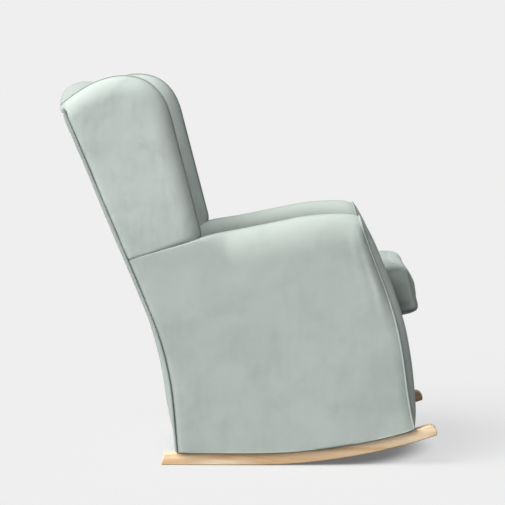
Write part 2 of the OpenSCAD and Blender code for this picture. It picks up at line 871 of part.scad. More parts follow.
module cushion_foam() {
    side = cushion_skin + slip;
    color("#efe7c8")
        on_deck()
            translate([0, 0, side - cushion_w / 2])
                linear_extrude(cushion_w - 2 * side)
                    polygon(cushion_outline(side));
}

module cushion_zip() {
    color("#8f9894")
        on_deck()
            translate([-zip_t, cushion_t / 2 - zip_h / 2, -zip_len / 2])
                cube([zip_t, zip_h, zip_len]);
}

// The slider waits at the closed end of the zip
zip_travel = zip_len - 2 * slider_h;
module zip_slider() {
    color("#b9bcbf")
        on_deck()
            translate([-zip_t - slip - slider_t, cushion_t / 2 - slider_w / 2, -zip_travel / 2 - slider_h / 2])
                difference() {
                    cube([slider_t, slider_w, slider_h]);
                    translate([slider_t / 4, -1, slider_h / 4])
                        cube([slider_t / 4, slider_w + 2, slider_h / 2]);
                }
}

runner_right();
runner_left();
runner_bolts();
runner_tee_nuts();
base_rail_right();
base_rail_left();
rear_post_right();
rear_post_left();
front_post_right();
front_post_left();
arm_rail_right();
arm_rail_left();
seat_side_rail_right();
seat_side_rail_left();
wing_board_right();
wing_board_left();
front_seat_rail();
rear_seat_rail();
front_base_rail();
rear_base_rail();
back_top_rail();
lumbar_rail();
corner_blocks();
seat_springs();
spring_clips();
back_webbing();
side_cover_right();
side_cover_left();
inner_arm_pad_right();
inner_arm_pad_left();
arm_top_pad_right();
arm_top_pad_left();
arm_front_pad_right();
arm_front_pad_left();
arm_front_piping_right();
arm_front_piping_left();
wing_cover_right();
wing_cover_left();
wing_pad_right();
wing_pad_left();
inner_back_pad();
back_top_pad();
back_cover();
rear_piping_right();
rear_piping_left();
front_apron();
seat_deck();
dust_cover();
cushion_cover();
cushion_foam();
cushion_zip();
zip_slider();
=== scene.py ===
import math

import bmesh
import bpy
import numpy as np
from mathutils import Matrix, Vector, noise


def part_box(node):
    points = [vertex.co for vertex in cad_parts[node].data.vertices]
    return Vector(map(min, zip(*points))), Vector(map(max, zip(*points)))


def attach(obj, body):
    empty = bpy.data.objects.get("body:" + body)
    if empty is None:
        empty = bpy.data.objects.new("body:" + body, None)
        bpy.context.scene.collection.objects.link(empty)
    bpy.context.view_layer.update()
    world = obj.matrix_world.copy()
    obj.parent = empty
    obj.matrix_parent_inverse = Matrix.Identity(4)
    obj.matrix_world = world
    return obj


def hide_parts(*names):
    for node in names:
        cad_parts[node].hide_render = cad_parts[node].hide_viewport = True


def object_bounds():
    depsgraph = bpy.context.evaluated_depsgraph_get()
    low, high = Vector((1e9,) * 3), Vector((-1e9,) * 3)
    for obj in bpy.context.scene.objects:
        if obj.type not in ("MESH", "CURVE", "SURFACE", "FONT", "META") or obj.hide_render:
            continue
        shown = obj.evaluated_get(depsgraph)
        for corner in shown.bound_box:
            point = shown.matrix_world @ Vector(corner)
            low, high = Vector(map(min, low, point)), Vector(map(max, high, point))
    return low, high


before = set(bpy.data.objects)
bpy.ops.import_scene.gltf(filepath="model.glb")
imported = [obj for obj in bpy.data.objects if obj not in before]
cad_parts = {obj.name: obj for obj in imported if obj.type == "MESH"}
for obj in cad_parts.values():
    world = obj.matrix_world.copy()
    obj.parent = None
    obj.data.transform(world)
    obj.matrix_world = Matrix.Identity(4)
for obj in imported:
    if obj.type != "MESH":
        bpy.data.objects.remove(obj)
cad_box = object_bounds()

# Studio -----------------------------------------------------------------------
# A pale floor that runs out into an evenly lit backdrop of the same tone, a
# broad soft lamp high up behind the sitter's right shoulder with a low one
# under it, and the camera square to the chair's right side, above the arms.

backdrop_tone = 0.863
room_light = 0.36
high_lamp = (4.3, Vector((-0.46, 0.68, 0.88)).normalized(), math.radians(46))
low_lamp = (1.1, Vector((-0.62, 0.60, 0.22)).normalized(), math.radians(40))
lamp_tint = (1.0, 0.995, 0.985)
floor_reach = 60.0
floor_glow = (0.16, 0.74)
floor_bounce = 0.16
shadow_shift = (0, 0.33, 0)
shadow_scale = (2.5, 2.8, 1)
camera_away = 6.065
camera_lens = 166


def link(tree, source, target):
    tree.links.new(source, target)


def add(tree, kind, **values):
    """A node of that kind, with its inputs set by name."""
    node = tree.nodes.new(kind)
    for name, value in values.items():
        node.inputs[name.replace("_", " ")].default_value = value
    return node


def studio_world():
    world = bpy.data.worlds.new("studio")
    world.use_nodes = True
    tree = world.node_tree
    tree.nodes.clear()
    out = tree.nodes.new("ShaderNodeOutputWorld")
    mix = tree.nodes.new("ShaderNodeMixShader")
    path = tree.nodes.new("ShaderNodeLightPath")
    light = add(tree, "ShaderNodeBackground", Color=(0.97, 0.99, 1.0, 1), Strength=room_light)
    seen = add(tree, "ShaderNodeBackground", Color=(1, 1, 1, 1), Strength=backdrop_tone)
    link(tree, path.outputs["Is Camera Ray"], mix.inputs[0])
    link(tree, light.outputs[0], mix.inputs[1])
    link(tree, seen.outputs[0], mix.inputs[2])
    link(tree, mix.outputs[0], out.inputs[0])
    bpy.context.scene.world = world


def studio_floor():
    # the paint's tone makes the lit floor match the backdrop
    lamps = sum(strength * way.z / math.pi for strength, way, spread in (high_lamp, low_lamp))
    paint = backdrop_tone / (room_light + lamps)
    mat = bpy.data.materials.new("floor_paint")
    mat.use_nodes = True
    tree = mat.node_tree
    tree.nodes.clear()
    out = tree.nodes.new("ShaderNodeOutputMaterial")
    mix = tree.nodes.new("ShaderNodeMixShader")
    # it glows as painted light, least under the seat and most further out, so its shadows are soft all
    # round and deepest under the seat
    where = tree.nodes.new("ShaderNodeTexCoord")
    under = add(tree, "ShaderNodeMapping", Location=shadow_shift, Scale=shadow_scale)
    away = tree.nodes.new("ShaderNodeVectorMath")
    away.operation = "LENGTH"
    glow_share = add(tree, "ShaderNodeMapRange", From_Min=0.85, From_Max=1.15,
                     To_Min=floor_glow[0], To_Max=floor_glow[1])
    glow_share.interpolation_type = "SMOOTHSTEP"
    link(tree, where.outputs["Object"], under.inputs["Vector"])
    link(tree, under.outputs[0], away.inputs[0])
    link(tree, away.outputs["Value"], glow_share.inputs["Value"])
    link(tree, glow_share.outputs[0], mix.inputs[0])
    matte = add(tree, "ShaderNodeBsdfDiffuse", Color=(paint, paint, paint, 1))
    glow = add(tree, "ShaderNodeEmission", Color=(1, 1, 1, 1), Strength=backdrop_tone)
    # the chair is lit by a duller floor than the one in view
    path = tree.nodes.new("ShaderNodeLightPath")
    either = tree.nodes.new("ShaderNodeMixShader")
    dull = add(tree, "ShaderNodeBsdfDiffuse", Color=(floor_bounce, floor_bounce, floor_bounce, 1))
    link(tree, matte.outputs[0], mix.inputs[1])
    link(tree, glow.outputs[0], mix.inputs[2])
    link(tree, path.outputs["Is Camera Ray"], either.inputs[0])
    link(tree, dull.outputs[0], either.inputs[1])
    link(tree, mix.outputs[0], either.inputs[2])
    link(tree, either.outputs[0], out.inputs[0])
    bm = bmesh.new()
    bmesh.ops.create_circle(bm, cap_ends=True, radius=floor_reach, segments=96)
    mesh = bpy.data.meshes.new("floor")
    bm.to_mesh(mesh)
    bm.free()
    mesh.materials.append(mat)
    floor = bpy.data.objects.new("floor", mesh)
    bpy.context.scene.collection.objects.link(floor)


def studio_lamp(name, strength, way, spread):
    lamp = bpy.data.lights.new(name, "SUN")
    lamp.energy = strength
    lamp.angle = spread
    lamp.color = lamp_tint
    holder = bpy.data.objects.new(name, lamp)
    holder.rotation_mode = "QUATERNION"
    holder.rotation_quaternion = way.to_track_quat("Z", "Y")
    bpy.context.scene.collection.objects.link(holder)


def studio_camera():
    near_side = cad_box[0].x
    aim = Vector((near_side, -0.0170, 0.5645))
    stand = Vector((near_side - camera_away, -0.0920, 1.073))
    camera = bpy.data.cameras.new("camera")
    camera.lens = camera_lens
    camera.sensor_width = 36
    holder = bpy.data.objects.new("camera", camera)
    holder.location = stand
    holder.rotation_mode = "QUATERNION"
    holder.rotation_quaternion = (stand - aim).to_track_quat("Z", "Y")
    bpy.context.scene.collection.objects.link(holder)
    bpy.context.scene.camera = holder


studio_world()
studio_floor()
studio_lamp("high_lamp", *high_lamp)
studio_lamp("low_lamp", *low_lamp)
studio_camera()
bpy.context.scene.view_settings.view_transform = "Standard"

# Runners ----------------------------------------------------------------------
# Two steam-bent beech runners, flat behind the rocking line and one long arc in
# front of it. Each is planed, its edges eased with a router, drilled from below
# for three bolts, and oiled, so the grain shows as soft darker streaks.

flat_len = 0.237
toe_reach = 0.492
rock_r = 1.546
runner_t = 0.031
runner_w = 0.040
runner_inset = 0.012
toe_r = 0.020
heel_cut = runner_t / 4
half_w = cad_box[1].x
runner_x = half_w - runner_inset - runner_w
# Y of the line where the flat turns into the arc; side outlines are (f, z),
# with f the distance forward of that line
rock_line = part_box("runner_left")[0].y + toe_reach


def above_sole(f, h):
    """Height at f of the line that lies h above the runner's underside."""
    return rock_r - np.sqrt((rock_r - h) ** 2 - np.maximum(f, 0) ** 2)


def new_group(name, kind, inputs, outputs):
    """A node group and its two end nodes; a socket is its name, its kind and perhaps its value."""
    group = bpy.data.node_groups.new(name, kind)
    for way, rows in (("INPUT", inputs), ("OUTPUT", outputs)):
        for label, sort, *value in rows:
            socket = group.interface.new_socket(name=label, in_out=way, socket_type="NodeSocket" + sort)
            if value:
                socket.default_value = value[0]
    return group, group.nodes.new("NodeGroupInput"), group.nodes.new("NodeGroupOutput")


finish_sockets = (("Color", "Color"), ("Roughness", "Float"), ("Height", "Float"))


def feed(tree, values, inputs):
    """Links each value that is a socket to its input, and sets each plain number on it."""
    for value, place in zip(values, inputs):
        if isinstance(value, bpy.types.NodeSocket):
            link(tree, value, place)
        else:
            place.default_value = value


def worked(tree, operation, *values, clamp=False):
    """One sum on sockets and numbers."""
    node = tree.nodes.new("ShaderNodeMath")
    node.operation = operation
    node.use_clamp = clamp
    feed(tree, values, node.inputs)
    return node.outputs[0]


def ranged(tree, source, **limits):
    """A value carried from one range to another, held at its ends."""
    node = add(tree, "ShaderNodeMapRange", **limits)
    link(tree, source, node.inputs["Value"])
    return node.outputs[0]


def mixed(tree, share, first, second, blend="MIX"):
    """Two colours mixed by that share."""
    node = tree.nodes.new("ShaderNodeMix")
    node.data_type = "RGBA"
    node.blend_type = blend
    link(tree, share, node.inputs["Factor"])
    feed(tree, (first, second), (node.inputs[6], node.inputs[7]))
    return node.outputs[2]


def add_grain_group():
    """Straight-grained timber along local X: broad streaks, fine rings and short dark flecks."""
    group, take, give = new_group("timber_grain", "ShaderNodeTree",
                                  (("Vector", "Vector"), ("Pale", "Color", (0.7, 0.5, 0.3, 1)),
                                   ("Streak", "Color", (0.5, 0.33, 0.16, 1)),
                                   ("Streak Amount", "Float", 0.6), ("Ring Scale", "Float", 90.0),
                                   ("Fleck Amount", "Float", 0.35)), finish_sockets)

    def stretched(scale):
        node = group.nodes.new("ShaderNodeMapping")
        node.inputs["Scale"].default_value = scale
        link(group, take.outputs["Vector"], node.inputs["Vector"])
        return node.outputs[0]

    broad = add(group, "ShaderNodeTexNoise", Scale=1.0, Detail=3.0, Roughness=0.5, Distortion=0.6)
    link(group, stretched((2.6, 34, 34)), broad.inputs["Vector"])
    ring = add(group, "ShaderNodeTexNoise", Detail=4.0, Roughness=0.6, Distortion=0.3)
    link(group, stretched((0.03, 1, 1)), ring.inputs["Vector"])
    link(group, take.outputs["Ring Scale"], ring.inputs["Scale"])
    fleck = add(group, "ShaderNodeTexVoronoi", Scale=1.0, Randomness=1.0)
    link(group, stretched((160, 1300, 1300)), fleck.inputs["Vector"])

    streak = ranged(group, broad.outputs["Fac"], From_Min=0.42, From_Max=0.68)
    rings = ranged(group, ring.outputs["Fac"], From_Min=0.35, From_Max=0.75, To_Max=0.5)
    amount = worked(group, "MULTIPLY", worked(group, "ADD", streak, rings, clamp=True),
                    take.outputs["Streak Amount"])
    wood = mixed(group, amount, take.outputs["Pale"], take.outputs["Streak"])
    speck = ranged(group, fleck.outputs["Distance"], From_Min=0.10, From_Max=0.22, To_Min=1.0, To_Max=0.0)
    speck_amount = worked(group, "MULTIPLY", speck, take.outputs["Fleck Amount"])
    flecked = mixed(group, speck_amount, wood, (0.62, 0.48, 0.36, 1), "MULTIPLY")
    link(group, flecked, give.inputs["Color"])
    rough = ranged(group, ring.outputs["Fac"], To_Min=0.42, To_Max=0.58)
    link(group, rough, give.inputs["Roughness"])
    link(group, worked(group, "SUBTRACT", ring.outputs["Fac"], speck_amount), give.inputs["Height"])
    return group


grain_group = add_grain_group()


def new_material(name):
    """A node material with its Principled shader, ready for a pattern."""
    mat = bpy.data.materials.new(name)
    mat.use_nodes = True
    shader = mat.node_tree.nodes["Principled BSDF"]
    return mat, mat.node_tree, shader


def bumped(tree, shader, height, depth):
    """Feeds a height in [0, 1] to the shader as a bump of that depth in metres."""
    bump = add(tree, "ShaderNodeBump", Strength=1.0, Distance=depth)
    link(tree, height, bump.inputs["Height"])
    link(tree, bump.outputs[0], shader.inputs["Normal"])


def timber(name, pale, streak, turn, amount, fleck, coat):
    """Timber whose grain runs along X after the pattern is turned by that much about each axis."""
    mat, tree, shader = new_material(name)
    where = tree.nodes.new("ShaderNodeTexCoord")
    aim = tree.nodes.new("ShaderNodeMapping")
    aim.inputs["Rotation"].default_value = turn
    grain = tree.nodes.new("ShaderNodeGroup")
    grain.node_tree = grain_group
    grain.inputs["Pale"].default_value = (*pale, 1)
    grain.inputs["Streak"].default_value = (*streak, 1)
    grain.inputs["Streak Amount"].default_value = amount
    grain.inputs["Fleck Amount"].default_value = fleck
    link(tree, where.outputs["Object"], aim.inputs["Vector"])
    link(tree, aim.outputs[0], grain.inputs["Vector"])
    link(tree, grain.outputs["Color"], shader.inputs["Base Color"])
    link(tree, grain.outputs["Roughness"], shader.inputs["Roughness"])
    bumped(tree, shader, grain.outputs["Height"], 0.0003)
    shader.inputs["Coat Weight"].default_value = coat
    shader.inputs["Coat Roughness"].default_value = 0.35
    return mat


quarter = math.pi / 2
along_y = (0, 0, -quarter + 0.035)
oiled_beech = timber("oiled_beech", (0.93, 0.74, 0.53), (0.66, 0.40, 0.18), along_y, 0.85, 0.35, 0.12)


def plain_mesh(piece):
    """Turns a piece's modifiers into mesh and takes them off."""
    bpy.context.view_layer.update()
    graph = bpy.context.evaluated_depsgraph_get()
    done = bpy.data.meshes.new_from_object(piece.evaluated_get(graph), depsgraph=graph)
    piece.modifiers.clear()
    piece.data = done
    return piece


def put(name, mesh, material=None):
    """Puts a mesh in the scene under that name."""
    mesh.name = name
    if material is not None:
        mesh.materials.clear()
        mesh.materials.append(material)
    piece = bpy.data.objects.new(name, mesh)
    bpy.context.scene.collection.objects.link(piece)
    return piece


def smooth(piece, sharpest=None):
    """Shades a piece smooth, with a crease wherever faces meet more sharply than that."""
    piece.data.shade_smooth()
    if sharpest is not None:
        piece.data.set_sharp_from_angle(angle=sharpest)
    return piece


# Bolts stand square to the arc, at three places along the runner
bolt_head_r = 0.0083
bolt_hole_r = 0.0043
bolt_sink = 0.009
edge_ease = 0.0035
bolt_rear_f = rock_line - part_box("runner_bolts")[1].y + 0.008
bolt_front_f = 0.314


def runner_outline():
    sole = [(f, above_sole(f, 0)) for f in np.linspace(0, toe_reach, 40)]
    top_z = above_sole(toe_reach - toe_r, runner_t)
    toe = [(toe_reach - toe_r * (1 - math.cos(a)), top_z - toe_r * (1 - math.sin(a)))
           for a in np.linspace(0, quarter, 9)]
    top = [(f, above_sole(f, runner_t)) for f in np.linspace(toe_reach - toe_r, 0, 40)[1:]]
    return [(-flat_len, 0), *sole, *toe, *top, (heel_cut - flat_len, runner_t)]


def bolt_tool(f, radius, low, high):
    """A cylinder along a bolt's line, from one height above the sole to another."""
    bm = bmesh.new()
    turn = Matrix.Rotation(math.asin(max(f, 0) / rock_r), 4, "X")
    centre = Matrix.Translation((runner_x + runner_w / 2, rock_line - min(f, 0), rock_r))
    lift = Matrix.Translation((0, 0, (low + high) / 2 - rock_r))
    bmesh.ops.create_cone(bm, cap_ends=True, segments=40, radius1=radius, radius2=radius,
                          depth=high - low, matrix=centre @ turn @ lift)
    mesh = bpy.data.meshes.new("drill")
    bm.to_mesh(mesh)
    bm.free()
    return put("drill", mesh)


def mirrored(piece, name):
    """A copy of a piece on the other side of the chair, faces outward."""
    bm = bmesh.new()
    bm.from_mesh(piece.data)
    bmesh.ops.scale(bm, vec=(-1, 1, 1), verts=bm.verts)
    bmesh.ops.reverse_faces(bm, faces=bm.faces)
    mesh = piece.data.copy()
    bm.to_mesh(mesh)
    bm.free()
    return put(name, mesh)


def runner(name):
    outline = runner_outline()
    bm = bmesh.new()
    verts = [bm.verts.new((runner_x, rock_line - f, z)) for f, z in outline]
    side = bm.faces.new(verts)
    made = bmesh.ops.extrude_face_region(bm, geom=[side])["geom"]
    moved = [v for v in made if isinstance(v, bmesh.types.BMVert)]
    bmesh.ops.translate(bm, vec=(runner_w, 0, 0), verts=moved)
    bmesh.ops.recalc_face_normals(bm, faces=bm.faces)
    mesh = bpy.data.meshes.new(name)
    bm.to_mesh(mesh)
    bm.free()
    piece = put(name, mesh, oiled_beech)
    eased = piece.modifiers.new("eased", "BEVEL")
    eased.width = edge_ease
    eased.segments = 4
    eased.limit_method = "ANGLE"
    eased.angle_limit = math.radians(40)
    plain_mesh(piece)
    tools = []
    for f in (bolt_rear_f, (bolt_rear_f + bolt_front_f) / 2, bolt_front_f):
        tools += [bolt_tool(f, bolt_head_r, -runner_t, bolt_sink),
                  bolt_tool(f, bolt_hole_r, -runner_t, 2 * runner_t)]
    for tool in tools:
        cut = piece.modifiers.new("cut", "BOOLEAN")
        cut.operation = "DIFFERENCE"
        cut.object = tool
        cut.solver = "EXACT"
    plain_mesh(piece)
    for tool in tools:
        bpy.data.objects.remove(tool)
    return smooth(piece, math.radians(32))


left_runner = runner("runner_left_oiled")
for piece, node in ((left_runner, "runner_left"),
                    (mirrored(left_runner, "runner_right_oiled"), "runner_right")):
    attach(piece, "chair")
    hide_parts(node)

# Bolts and tee nuts -------------------------------------------------------------
# Zinc-plated steel: three bolts to a runner, driven up from the counterbores in
# its sole, and the pronged nuts they turn into on top of the base rails.


def add_metal_group():
    """Drawn and plated metal: cloudy tone, fine drawing lines and a few dull spots."""
    group, take, give = new_group("plated_metal", "ShaderNodeTree",
                                  (("Vector", "Vector"), ("Tone", "Color"), ("Dull", "Color")),
                                  finish_sockets)
    cloud = add(group, "ShaderNodeTexNoise", Scale=120.0, Detail=5.0, Roughness=0.6)
    lines = add(group, "ShaderNodeTexNoise", Scale=2400.0, Detail=2.0)
    link(group, take.outputs["Vector"], cloud.inputs["Vector"])
    link(group, take.outputs["Vector"], lines.inputs["Vector"])
    spread = ranged(group, cloud.outputs["Fac"], From_Min=0.4, From_Max=0.7)
    link(group, mixed(group, spread, take.outputs["Tone"], take.outputs["Dull"]), give.inputs["Color"])
    rough = ranged(group, cloud.outputs["Fac"], To_Min=0.22, To_Max=0.55)
    link(group, rough, give.inputs["Roughness"])
    link(group, lines.outputs["Fac"], give.inputs["Height"])
    return group


metal_group = add_metal_group()


def metal(name, tone, dull):
    mat, tree, shader = new_material(name)
    where = tree.nodes.new("ShaderNodeTexCoord")
    plate = tree.nodes.new("ShaderNodeGroup")
    plate.node_tree = metal_group
    plate.inputs["Tone"].default_value = (*tone, 1)
    plate.inputs["Dull"].default_value = (*dull, 1)
    link(tree, where.outputs["Object"], plate.inputs["Vector"])
    link(tree, plate.outputs["Color"], shader.inputs["Base Color"])
    link(tree, plate.outputs["Roughness"], shader.inputs["Roughness"])
    bumped(tree, shader, plate.outputs["Height"], 0.00005)
    shader.inputs["Metallic"].default_value = 1.0
    return mat


zinc = metal("zinc_plate", (0.66, 0.67, 0.69), (0.48, 0.49, 0.50))


def finish_node(node, material):
    """Gives a CAD node its material."""
    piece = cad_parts[node]
    if not piece.material_slots:
        piece.data.materials.append(material)
    for place in piece.material_slots:
        place.material = material


for node in ("runner_bolts", "runner_tee_nuts"):
    finish_node(node, zinc)

# Frame timbers ------------------------------------------------------------------
# Rough-planed birch: side frames of rails and posts, boards between them, the
# wing boards and four corner blocks, dowelled and glued, and never seen once
# the chair is covered.

birch = (0.66, 0.52, 0.34)
birch_streak = (0.50, 0.36, 0.20)
along_z = (0, quarter, 0)
along_x = (0, 0, 0)
frame_along_y = timber("frame_birch_along_y", birch, birch_streak, along_y, 0.5, 0.2, 0.0)
frame_along_z = timber("frame_birch_along_z", birch, birch_streak, along_z, 0.5, 0.2, 0.0)
frame_along_x = timber("frame_birch_along_x", birch, birch_streak, along_x, 0.5, 0.2, 0.0)
for side in ("right", "left"):
    for part in ("base_rail", "arm_rail", "seat_side_rail"):
        finish_node(f"{part}_{side}", frame_along_y)
    for part in ("rear_post", "front_post", "wing_board"):
        finish_node(f"{part}_{side}", frame_along_z)
for node in ("front_seat_rail", "rear_seat_rail", "front_base_rail", "rear_base_rail",
             "back_top_rail", "lumbar_rail", "corner_blocks"):
    finish_node(node, frame_along_x)

# Springs, clips and back webbing --------------------------------------------------
# Zigzag seat springs of tempered wire hooked in pressed clips, and bands of
# rubber-cored webbing stretched across the back and stapled to the posts.

spring_steel = metal("spring_steel", (0.30, 0.31, 0.33), (0.20, 0.20, 0.21))
for node in ("seat_springs", "spring_clips"):
    finish_node(node, spring_steel)


def add_weave_group():
    """Plain-woven cloth on a flat vector: warp and weft threads, slubs and a little fading."""
    group, take, give = new_group("plain_weave", "ShaderNodeTree",
                                  (("Vector", "Vector"), ("Thread", "Color"), ("Shade", "Color"),
                                   ("Threads per metre", "Float", 900.0)), finish_sockets)
    scaled = group.nodes.new("ShaderNodeVectorMath")
    scaled.operation = "SCALE"
    link(group, take.outputs["Vector"], scaled.inputs[0])
    link(group, take.outputs["Threads per metre"], scaled.inputs["Scale"])
    split = group.nodes.new("ShaderNodeSeparateXYZ")
    link(group, scaled.outputs[0], split.inputs[0])
    warp, weft = (worked(group, "SINE", worked(group, "MULTIPLY", split.outputs[axis], math.pi))
                  for axis in ("X", "Y"))
    height = ranged(group, worked(group, "MULTIPLY", warp, weft), From_Min=-1.0, From_Max=1.0)
    slub = add(group, "ShaderNodeTexNoise", Scale=0.02, Detail=4.0)
    link(group, scaled.outputs[0], slub.inputs["Vector"])
    shade = worked(group, "MULTIPLY_ADD", height, 0.5, slub.outputs["Fac"])
    clipped = ranged(group, shade, From_Min=0.35, From_Max=1.15)
    link(group, mixed(group, clipped, take.outputs["Shade"], take.outputs["Thread"]), give.inputs["Color"])
    rough = ranged(group, slub.outputs["Fac"], To_Min=0.78, To_Max=0.95)
    link(group, rough, give.inputs["Roughness"])
    link(group, height, give.inputs["Height"])
    return group


weave_group = add_weave_group()


def woven(name, thread, shade, per_metre, source="UV", turn=(0, 0, 0)):
    """A woven cloth laid out on the piece's UV map, or on its own place turned by that much."""
    mat, tree, shader = new_material(name)
    where = tree.nodes.new("ShaderNodeTexCoord")
    aim = tree.nodes.new("ShaderNodeMapping")
    aim.inputs["Rotation"].default_value = turn
    cloth = tree.nodes.new("ShaderNodeGroup")
    cloth.node_tree = weave_group
    cloth.inputs["Thread"].default_value = (*thread, 1)
    cloth.inputs["Shade"].default_value = (*shade, 1)
    cloth.inputs["Threads per metre"].default_value = per_metre
    link(tree, where.outputs[source], aim.inputs["Vector"])
    link(tree, aim.outputs[0], cloth.inputs["Vector"])
    link(tree, cloth.outputs["Color"], shader.inputs["Base Color"])
    link(tree, cloth.outputs["Roughness"], shader.inputs["Roughness"])
    bumped(tree, shader, cloth.outputs["Height"], 0.0003)
    shader.inputs["Sheen Weight"].default_value = 0.15
    return mat


web_cloth = woven("elastic_webbing", (0.70, 0.67, 0.58), (0.42, 0.39, 0.31), 420,
                  source="Object", turn=(quarter, 0, 0))
finish_node("back_webbing", web_cloth)

# Dust cover ---------------------------------------------------------------------
# A black non-woven sheet stapled under the base rails, where it keeps the dust
# in. It sags a little between the rails and carries a row of staples each side.

base_rear_f = -0.184
base_front_f = 0.4148
dust_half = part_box("dust_cover")[1].x
dust_sag = 0.004
dust_cover_t = 0.0008


def quad_sheet(name, grid, shut_rows=False, caps=False):
    """Quads through a rows x columns x 3 array; caps close both ends of a tube whose rows are shut."""
    rows, cols = grid.shape[:2]
    lines = rows if shut_rows else rows - 1
    faces = []
    for i in range(lines):
        near, far = i * cols, ((i + 1) % rows) * cols
        faces += [(near + j, near + j + 1, far + j + 1, far + j) for j in range(cols - 1)]
    if caps:
        faces.append([i * cols for i in range(rows)])
        faces.append([i * cols + cols - 1 for i in reversed(range(rows))])
    mesh = bpy.data.meshes.new(name)
    mesh.from_pydata(grid.reshape(-1, 3).tolist(), [], faces)
    across = np.linalg.norm(np.diff(grid, axis=1), axis=2).cumsum(axis=1)
    along = np.linalg.norm(np.diff(grid, axis=0), axis=2).cumsum(axis=0)
    u = np.hstack([np.zeros((rows, 1)), across]).reshape(-1)
    v = np.vstack([np.zeros((1, cols)), along]).reshape(-1)
    corner = np.zeros(len(mesh.loops), int)
    mesh.loops.foreach_get("vertex_index", corner)
    uv = mesh.uv_layers.new(name="cloth")
    uv.data.foreach_set("uv", np.stack([u[corner], v[corner]], axis=1).astype(np.float32).reshape(-1))
    return mesh


def point(x, f, z):
    """Stacks x, f and z, given as arrays or numbers, into points."""
    x, f, z = np.broadcast_arrays(x, f, z)
    return np.stack([x, rock_line - f, z], axis=-1)


def thickened(piece, depth):
    """Gives a sheet its thickness, on the side its faces turn away from."""
    wall = piece.modifiers.new("wall", "SOLIDIFY")
    wall.thickness = depth
    wall.offset = -1
    return plain_mesh(piece)


dust_x, dust_f = np.meshgrid(np.linspace(-dust_half, dust_half, 60),
                             np.linspace(base_rear_f, base_front_f, 64), indexing="ij")
dust_share = (dust_f - base_rear_f) / (base_front_f - base_rear_f)
dust_drop = dust_sag * np.sin(math.pi * dust_share) * np.cos(quarter * dust_x / dust_half)
dust_z = above_sole(dust_f, runner_t) + 0.0016 - 0.5 * dust_drop
dust_cloth = woven("black_nonwoven", (0.020, 0.020, 0.022), (0.008, 0.008, 0.009), 1500)
dust_cover = put("dust_cover_sheet", quad_sheet("dust", point(dust_x, dust_f, dust_z)), dust_cloth)
thickened(dust_cover, dust_cover_t)
smooth(dust_cover, math.radians(40))
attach(dust_cover, "chair")
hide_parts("dust_cover")


def add_staple_tree():
    """Staples set across a line: a flat crown with two short legs, at an even spacing."""
    tree, take, give = new_group("staple_row", "GeometryNodeTree",
                                 (("Geometry", "Geometry"), ("Spacing", "Float"), ("Crown", "Float"),
                                  ("Wire", "Float"), ("Material", "Material")),
                                 (("Geometry", "Geometry"),))
    tree.is_modifier = True
    line = tree.nodes.new("GeometryNodeMeshToCurve")
    spaced = tree.nodes.new("GeometryNodeResampleCurve")
    spaced.mode = "LENGTH"
    size = tree.nodes.new("ShaderNodeCombineXYZ")
    crown = tree.nodes.new("GeometryNodeMeshCube")
    tangent = tree.nodes.new("GeometryNodeInputTangent")
    turn = tree.nodes.new("FunctionNodeAlignRotationToVector")
    turn.axis = "X"
    placed = tree.nodes.new("GeometryNodeInstanceOnPoints")
    real = tree.nodes.new("GeometryNodeRealizeInstances")
    paint = tree.nodes.new("GeometryNodeSetMaterial")
    link(tree, take.outputs["Geometry"], line.inputs["Mesh"])
    link(tree, line.outputs[0], spaced.inputs["Curve"])
    link(tree, take.outputs["Spacing"], spaced.inputs["Length"])
    link(tree, take.outputs["Crown"], size.inputs["X"])
    link(tree, take.outputs["Wire"], size.inputs["Y"])
    link(tree, take.outputs["Wire"], size.inputs["Z"])
    link(tree, size.outputs[0], crown.inputs["Size"])
    link(tree, tangent.outputs[0], turn.inputs["Vector"])
    link(tree, spaced.outputs[0], placed.inputs["Points"])
    link(tree, crown.outputs["Mesh"], placed.inputs["Instance"])
    link(tree, turn.outputs[0], placed.inputs["Rotation"])
    link(tree, placed.outputs[0], real.inputs[0])
    link(tree, real.outputs[0], paint.inputs["Geometry"])
    link(tree, take.outputs["Material"], paint.inputs["Material"])
    link(tree, paint.outputs[0], give.inputs[0])
    return tree


staple_tree = add_staple_tree()


def grown(name, mesh, tree, **inputs):
    """Runs a node tree on a mesh and gives back the plain mesh that it makes."""
    piece = put(name, mesh)
    growth = piece.modifiers.new("growth", "NODES")
    growth.node_group = tree
    named = {s.name: s.identifier for s in tree.interface.items_tree if s.in_out == "INPUT"}
    for key, value in inputs.items():
        growth[named[key.replace("_", " ")]] = value
    return plain_mesh(piece)


def line_mesh(name, lines):
    """A mesh of edges through each list of points."""
    verts, edges = [], []
    for points in lines:
        edges += [(len(verts) + i, len(verts) + i + 1) for i in range(len(points) - 1)]
        verts += [tuple(p) for p in points]
    mesh = bpy.data.meshes.new(name)
    mesh.from_pydata(verts, edges, [])
    return mesh


staple_f = np.linspace(base_rear_f + 0.02, base_front_f - 0.02, 40)
staple_z = above_sole(staple_f, runner_t) + 0.0004
staple_lines = [point(side * (dust_half - 0.012), staple_f, staple_z) for side in (-1, 1)]
staples = grown("dust_cover_staples", line_mesh("staples", staple_lines), staple_tree,
                Spacing=0.042, Crown=0.010, Wire=0.0009, Material=zinc)
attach(staples, "chair")

# Outside back -------------------------------------------------------------------
# One velvet panel pulled over wadding from the hem above the runners up to the
# top roll, full in the middle and drawn in where its edges are tacked.

foot_back = 0.199
foot_lean = math.tan(math.radians(5))
back_lean = math.tan(math.radians(22.6))
bend_low = 0.163
bend_high = 0.413
back_bulge = 0.028
hem_gap = 0.003
post_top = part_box("rear_post_left")[1].z
rear_pipe_d = 0.008
back_cover_t = 0.005


